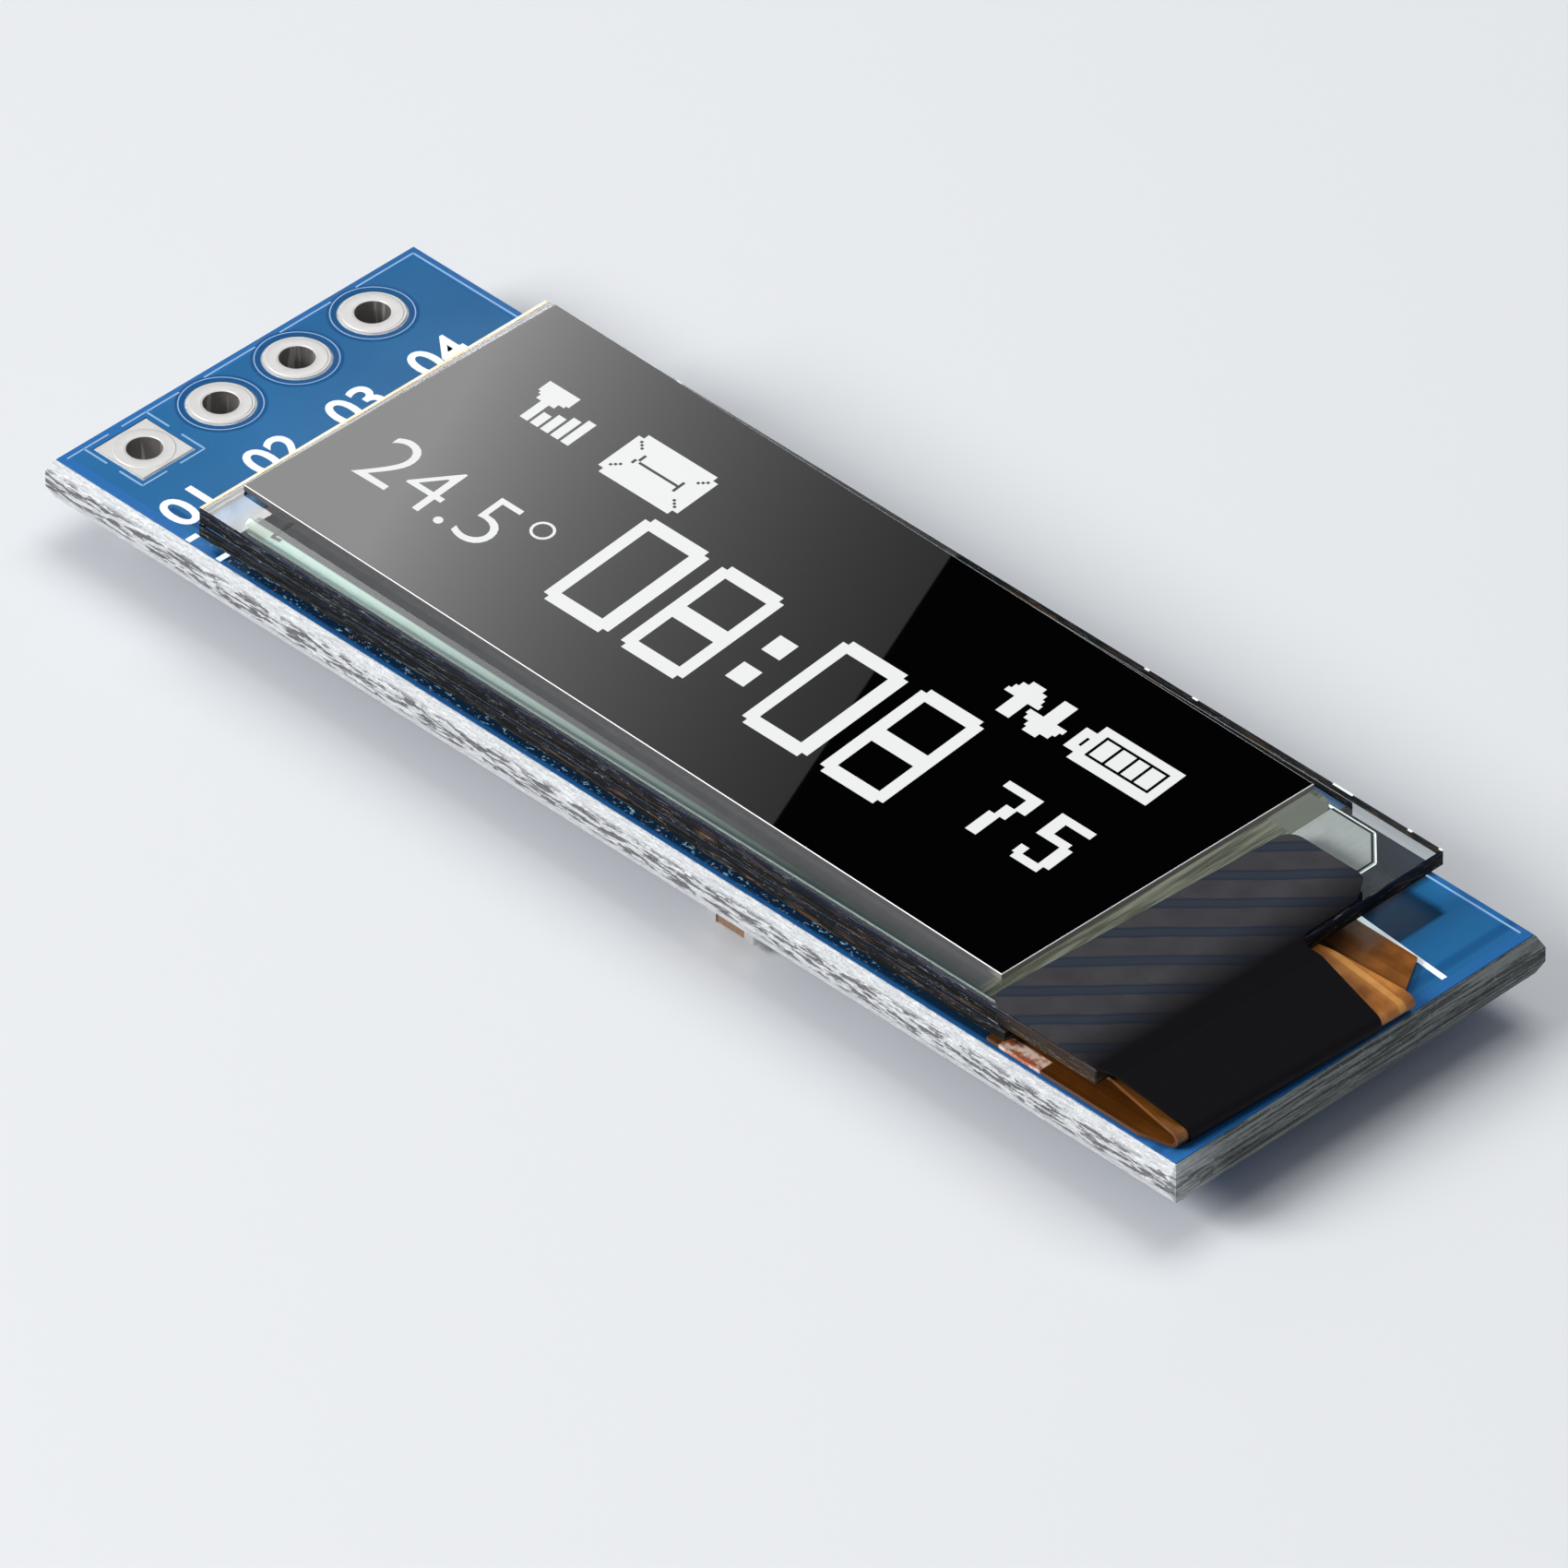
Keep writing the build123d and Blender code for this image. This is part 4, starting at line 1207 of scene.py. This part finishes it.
class DISPLAY_OT_image(bpy.types.Operator):
    """Light the clock, the signs and the figures on the display."""

    bl_idname = "display.image"
    bl_label = "Lit image"

    def execute(self, context):
        sizes = context.scene.display_sizes
        pitch = sizes.pixel_pitch / MM
        lean = sizes.image_lean
        left, base = -5.60, -2.70
        level = DISPLAY_FACE + 0.001
        zero, eight = (24, (5, 40)), (23, (5, 18), (25, 40))
        cells = big_figure(0, *zero) | big_figure(30, *eight)
        cells |= big_figure(77, *zero) | big_figure(107, *eight)
        cells |= block(62, 68, 11, 18) | block(62, 68, 26, 33)
        cells |= antenna() | envelope() | arrow_up() | arrow_down() | battery()
        cells |= small_seven() | small_five()
        places = []
        for i, j in sorted(cells):
            places.append(((left + (i + 0.5) * pitch) * MM, (base + (j + 0.5) * pitch) * MM, level * MM))
        points = bpy.data.meshes.new("pixel_places")
        points.from_pydata(places, [], [])
        glow = glow_finish("lit_pixels", tuple(context.scene.display_colours.glow))
        side = pitch * sizes.pixel_fill * MM
        mesh = pixel_tree().grow(points, {"Cell": (side, side, 0.004 * MM), "Material": glow})
        mesh.name = "lit_clock"
        slant = Matrix.Identity(4)
        slant[0][1] = -lean
        mesh.transform(Matrix.Translation((lean * base * MM, 0.0, 0.0)) @ slant)
        add_piece("lit_clock", mesh, None)
        place = Matrix.Translation((-12.42, -2.50, level)) @ slant
        mesh = words_mesh("lit_figures", "24.5°", 2.72, 0.004, place, -0.032)
        add_piece("lit_figures", mesh, glow)
        return {"FINISHED"}


class DISPLAY_OT_flex(bpy.types.Operator):
    """Dress the folded flex and the shield tape over it."""

    bl_idname = "display.flex"
    bl_label = "Flex and tape"

    def execute(self, context):
        dress(["flex_cable"], flex_finish("flex_film", tuple(context.scene.display_colours.film)))
        dress(["shield_tape"], tape_finish("shield_film"))
        return {"FINISHED"}


class DISPLAY_OT_underside(bpy.types.Operator):
    """Dress the parts on the underside."""

    bl_idname = "display.underside"
    bl_label = "Underside parts"

    def execute(self, context):
        ceramic = grain_finish("capacitor_ceramic", (0.15, 0.082, 0.046), (0.24, 0.14, 0.080), 0.5)
        dress([f"capacitor_{n}_body" for n in CAPACITORS], ceramic)
        ceramic = grain_finish("resistor_ceramic", (0.72, 0.72, 0.70), (0.85, 0.85, 0.83), 0.5)
        dress([f"resistor_{n}_body" for n in RESISTORS], ceramic)
        glaze = grain_finish("resistor_coat", (0.008, 0.008, 0.009), (0.02, 0.02, 0.022), 0.22)
        dress(["resistor_glaze"], glaze)
        dress(CHIP_ENDS, metal_finish("end_plating", (0.66, 0.65, 0.64), 0.30, 9.0, 0.006))
        black, grey = (0.010, 0.010, 0.011), (0.032, 0.032, 0.034)
        package = grain_finish("moulded_package", black, grey, 0.55, 24.0, 0.010)
        dress(["regulator_body", "diode_body"], package)
        leads = metal_finish("lead_plating", (0.82, 0.82, 0.83), 0.3, 12.0, 0.004)
        dress(["regulator_leads", "diode_leads"], leads)
        return {"FINISHED"}


class DISPLAY_OT_codes(bpy.types.Operator):
    """Mark the underside parts: resistor values, the diode's bar, outlines and numbers."""

    bl_idname = "display.codes"
    bl_label = "Part codes"

    def execute(self, context):
        flip = Matrix.Rotation(math.pi, 4, "X")
        quarter = Matrix.Rotation(math.radians(90), 4, "Z")
        level = box("resistor_glaze")[0].z - 0.001
        codes = []
        for number, value in enumerate(("103", "472", "472", "394", "103"), start=1):
            low, high = box(f"resistor_{number}_body")
            turn = quarter if high.y - low.y > high.x - low.x else Matrix.Identity(4)
            middle = Matrix.Translation(((low.x + high.x) / 2, (low.y + high.y) / 2, level))
            place = middle @ turn @ flip @ Matrix.Translation((-0.40, -0.15, 0.0))
            codes.append(words_mesh("code", value, 0.43, 0.003, place, 0.004))
        low, high = box("diode_body")
        level = low.z - 0.0005
        y = high.y - 0.30
        line = bar(low.x + 0.17, y, high.x - 0.17, y, 0.18, level, level + 0.002)
        codes.append(mesh_of("bar", [line]))
        ink = print_finish("code_print", (0.78, 0.79, 0.78))
        add_piece("part_codes", joined("part_codes", codes), ink)

        low_z, top = UNDER_LOW.z - 0.012, UNDER_LOW.z + 0.002
        slim, wide = 0.16, 0.50
        lines = []
        for part in CHIP_ENDS:
            low, high = box(part)
            grow_x, grow_y = (wide, slim) if high.x - low.x > high.y - low.y else (slim, wide)
            x0, x1, y1 = low.x - grow_x, high.x + grow_x, high.y + grow_y
            y0 = max(low.y - grow_y, UNDER_LOW.y + 0.08)
            lines += [(x0, y0, x1, y0), (x1, y0, x1, y1), (x1, y1, x0, y1), (x0, y1, x0, y0)]
        low, high = box("regulator_body")
        lines += [(low.x - 0.2, y, high.x + 0.2, y) for y in (low.y - slim, high.y + slim)]
        low, high = box("diode_body")
        lines += [(x, low.y - 0.5, x, high.y + 0.5) for x in (low.x - slim, high.x + slim)]
        shapes = [bar(*line, 0.09, low_z, top) for line in lines]
        prints = [mesh_of("outlines", shapes)]
        for number, (_, y) in enumerate(header_middles(), start=1):
            place = Matrix.Translation((-15.9, y + 0.3, (top + low_z) / 2)) @ quarter @ flip
            place = place @ Matrix.Translation((-0.2, -0.9, 0.0))
            prints.append(words_mesh("label", str(number), 1.3, top - low_z, place, 0.018))
        ink = print_finish("under_print", (0.80, 0.84, 0.87))
        add_piece("underside_print", joined("underside_print", prints), ink)
        return {"FINISHED"}


def mirrored(eye, x, y, level, distance, axis):
    """Where the display, seen from the eye, shows this point of a card that stands off along an axis."""
    ghost = Vector((eye.x, eye.y, 2 * level - eye.z))
    spot = Vector((x, y, level))
    ray = (spot - ghost).normalized()
    return spot + ray * ((distance - spot.dot(axis)) / ray.dot(axis))


def card(name, outline, strength_of):
    """Reflecting card: seen only in glossy surfaces."""
    mesh = bpy.data.meshes.new(name)
    mesh.from_pydata([tuple(c * MM) for c in outline], [], [list(range(len(outline)))])
    piece = bpy.data.objects.new(name, mesh)
    bpy.context.scene.collection.objects.link(piece)
    f = Finish(name)
    light = f.node("ShaderNodeEmission", {}, {"Color": (1.0, 1.0, 1.0), "Strength": strength_of(f)})
    mesh.materials.append(f.close(light))
    piece.visible_camera = False
    piece.visible_diffuse = False
    piece.visible_shadow = False
    piece.visible_transmission = False


def way_along(f, start, end):
    """How far along a line a point stands: 0 at its start, 1 at its end."""
    run = end - start
    return (f.x * run.x + f.y * run.y + f.z * run.z - start.dot(run)) / run.length_squared


def softbox(name, place, size, power, colour):
    """Soft rectangular lamp turned to the part."""
    lamp = bpy.data.lights.new(name, "AREA")
    lamp.shape = "RECTANGLE"
    lamp.size, lamp.size_y = (side * MM for side in size)
    lamp.energy = power
    lamp.color = colour
    holder = bpy.data.objects.new(name, lamp)
    bpy.context.scene.collection.objects.link(holder)
    holder.location = Vector(place) * MM
    holder.rotation_euler = (-Vector(place)).to_track_quat("-Z", "Y").to_euler()


def place_camera(scene):
    """Set the camera. Returns its place and the direction that points out of its back."""
    eye = Vector((314.787, -305.994, 348.079))
    right = Vector((0.70178, 0.71234, -0.00859)).normalized()
    up = Vector((-0.43819, 0.44114, 0.78319)).normalized()
    back = right.cross(up).normalized()
    lens = bpy.data.cameras.new("studio_camera")
    lens.sensor_width = SENSOR
    lens.lens = FOCAL_PIXELS / IMAGE_SIDE * SENSOR
    lens.clip_start = 0.01
    lens.clip_end = 20.0
    camera = bpy.data.objects.new("studio_camera", lens)
    scene.collection.objects.link(camera)
    turn = Matrix((right, up, back)).transposed().to_4x4()
    camera.matrix_world = Matrix.Translation(eye * MM) @ turn
    scene.camera = camera
    return eye, back


def lay_floor(scene):
    """Lay the pale floor."""
    far = 3
    mesh = bpy.data.meshes.new("floor")
    mesh.from_pydata([(-far, -far, 0), (far, -far, 0), (far, far, 0), (-far, far, 0)], [], [(0, 1, 2, 3)])
    floor = bpy.data.objects.new("floor", mesh)
    scene.collection.objects.link(floor)
    f = Finish("studio_floor")
    colour = tuple(scene.display_colours.floor)
    base = f.mix(f.noise(0.02, 2.0) * 0.04, colour, times(colour, 0.9))
    mesh.materials.append(f.surface(Base_Color=base, Roughness=0.5))


def light_studio(scene):
    """Light the studio: a soft surround, paler where it is seen or mirrored, and two large lamps."""
    scene.world = bpy.data.worlds.new("studio")
    w = Nodes(scene.world)
    rays = ("Is Camera Ray", "Is Glossy Ray", "Is Transmission Ray")
    camera, glossy, passing = (w.node("ShaderNodeLightPath", output=ray) for ray in rays)
    seen = w.math("MAXIMUM", w.math("MAXIMUM", camera, glossy), passing)
    dim = w.node("ShaderNodeBackground", {}, {"Color": (0.92, 0.95, 1.0), "Strength": 0.30})
    pale = w.node("ShaderNodeBackground", {}, {"Color": (0.90, 0.91, 0.93), "Strength": 0.95})
    w.close(w.blend(seen, dim, pale), "ShaderNodeOutputWorld")
    softbox("key_lamp", (-190, -370, 290), (240, 200), 2.9, (1.0, 0.99, 0.97))
    softbox("top_lamp", (-60, 160, 460), (320, 320), 1.3, (0.97, 0.99, 1.0))


def hang_cards(eye, back):
    """Hang the cards that the display and the glass strip beside it mirror."""
    axis = Vector((-back.x, -back.y, back.z)).normalized()
    away, glass = 80, GLASS_HIGH.z

    def behind(points, level=DISPLAY_FACE, distance=away):
        return [mirrored(eye, x, y, level, distance, axis) for x, y in points]

    start, end = behind(((-13.6, 0), (2.4, 0)))

    def fade(f):
        return f.math("MINIMUM", f.math("POWER", 0.0844, way_along(f, start, end)) * 5.75, 4.45)

    card("bright_card", behind(((4.62, -4.97), (-4.84, 17.354), (-13.40, 17.354), (-13.73, -4.68))), fade)
    strip = behind(((-12.70, -5.12), (6.0, -5.36), (6.0, -5.63), (-12.70, -5.63)), glass)
    card("strip_card", strip, lambda f: (1 - way_along(f, strip[0], strip[1])).held() * 3.4)
    corner = ((-15, 7), (-13.50, 7), (-13.73, -4.68), (-12.70, -4.70), (-12.70, -7.0), (-15, -7.0))
    card("corner_card", behind(corner), lambda f: f.noise(0.5, 2.0).ramp(0.35, 0.65) * 6.0 + 4.0)
    backdrop = ((-110, -80), (110, -80), (110, 80), (-110, 80))
    dark = behind(backdrop, distance=away + 8)
    card("dark_card", dark, lambda f: f.noise(0.002, 1.0) * 0.006)


class DISPLAY_OT_stage(bpy.types.Operator):
    """Set the camera, the floor, the lamps and the cards that the display mirrors."""

    bl_idname = "display.stage"
    bl_label = "Studio"

    def execute(self, context):
        scene = context.scene
        scene.view_settings.view_transform = "Standard"
        eye, back = place_camera(scene)
        lay_floor(scene)
        light_studio(scene)
        hang_cards(eye, back)
        return {"FINISHED"}


class DISPLAY_PT_panel(bpy.types.Panel):
    """Lists the sizes, the colours and each group of pieces."""

    bl_label = "Display module"
    bl_idname = "DISPLAY_PT_panel"
    bl_space_type = "VIEW_3D"
    bl_region_type = "UI"
    bl_category = "Display"

    def draw(self, context):
        layout = self.layout
        for group in (context.scene.display_sizes, context.scene.display_colours):
            column = layout.column(align=True)
            for name in group.__annotations__:
                column.prop(group, name)
        column = layout.column(align=True)
        for step in STEPS:
            column.operator(step.bl_idname)


STEPS = (
    DISPLAY_OT_board,
    DISPLAY_OT_fibres,
    DISPLAY_OT_header,
    DISPLAY_OT_print,
    DISPLAY_OT_panel,
    DISPLAY_OT_polarizer,
    DISPLAY_OT_marks,
    DISPLAY_OT_image,
    DISPLAY_OT_flex,
    DISPLAY_OT_underside,
    DISPLAY_OT_codes,
    DISPLAY_OT_stage,
)
CLASSES = (DisplaySizes, DisplayColours, *STEPS, DISPLAY_PT_panel)


def register():
    for kind in CLASSES:
        bpy.utils.register_class(kind)
    bpy.types.Scene.display_sizes = PointerProperty(type=DisplaySizes)
    bpy.types.Scene.display_colours = PointerProperty(type=DisplayColours)


def unregister():
    del bpy.types.Scene.display_colours
    del bpy.types.Scene.display_sizes
    for kind in reversed(CLASSES):
        bpy.utils.unregister_class(kind)


def main():
    register()
    bpy.ops.display.board()
    bpy.ops.display.fibres()
    bpy.ops.display.header()
    bpy.ops.display.print()
    bpy.ops.display.panel()
    bpy.ops.display.polarizer()
    bpy.ops.display.marks()
    bpy.ops.display.image()
    bpy.ops.display.flex()
    bpy.ops.display.underside()
    bpy.ops.display.codes()
    bpy.ops.display.stage()
    bpy.context.view_layer.update()


if __name__ == "__main__":
    main()
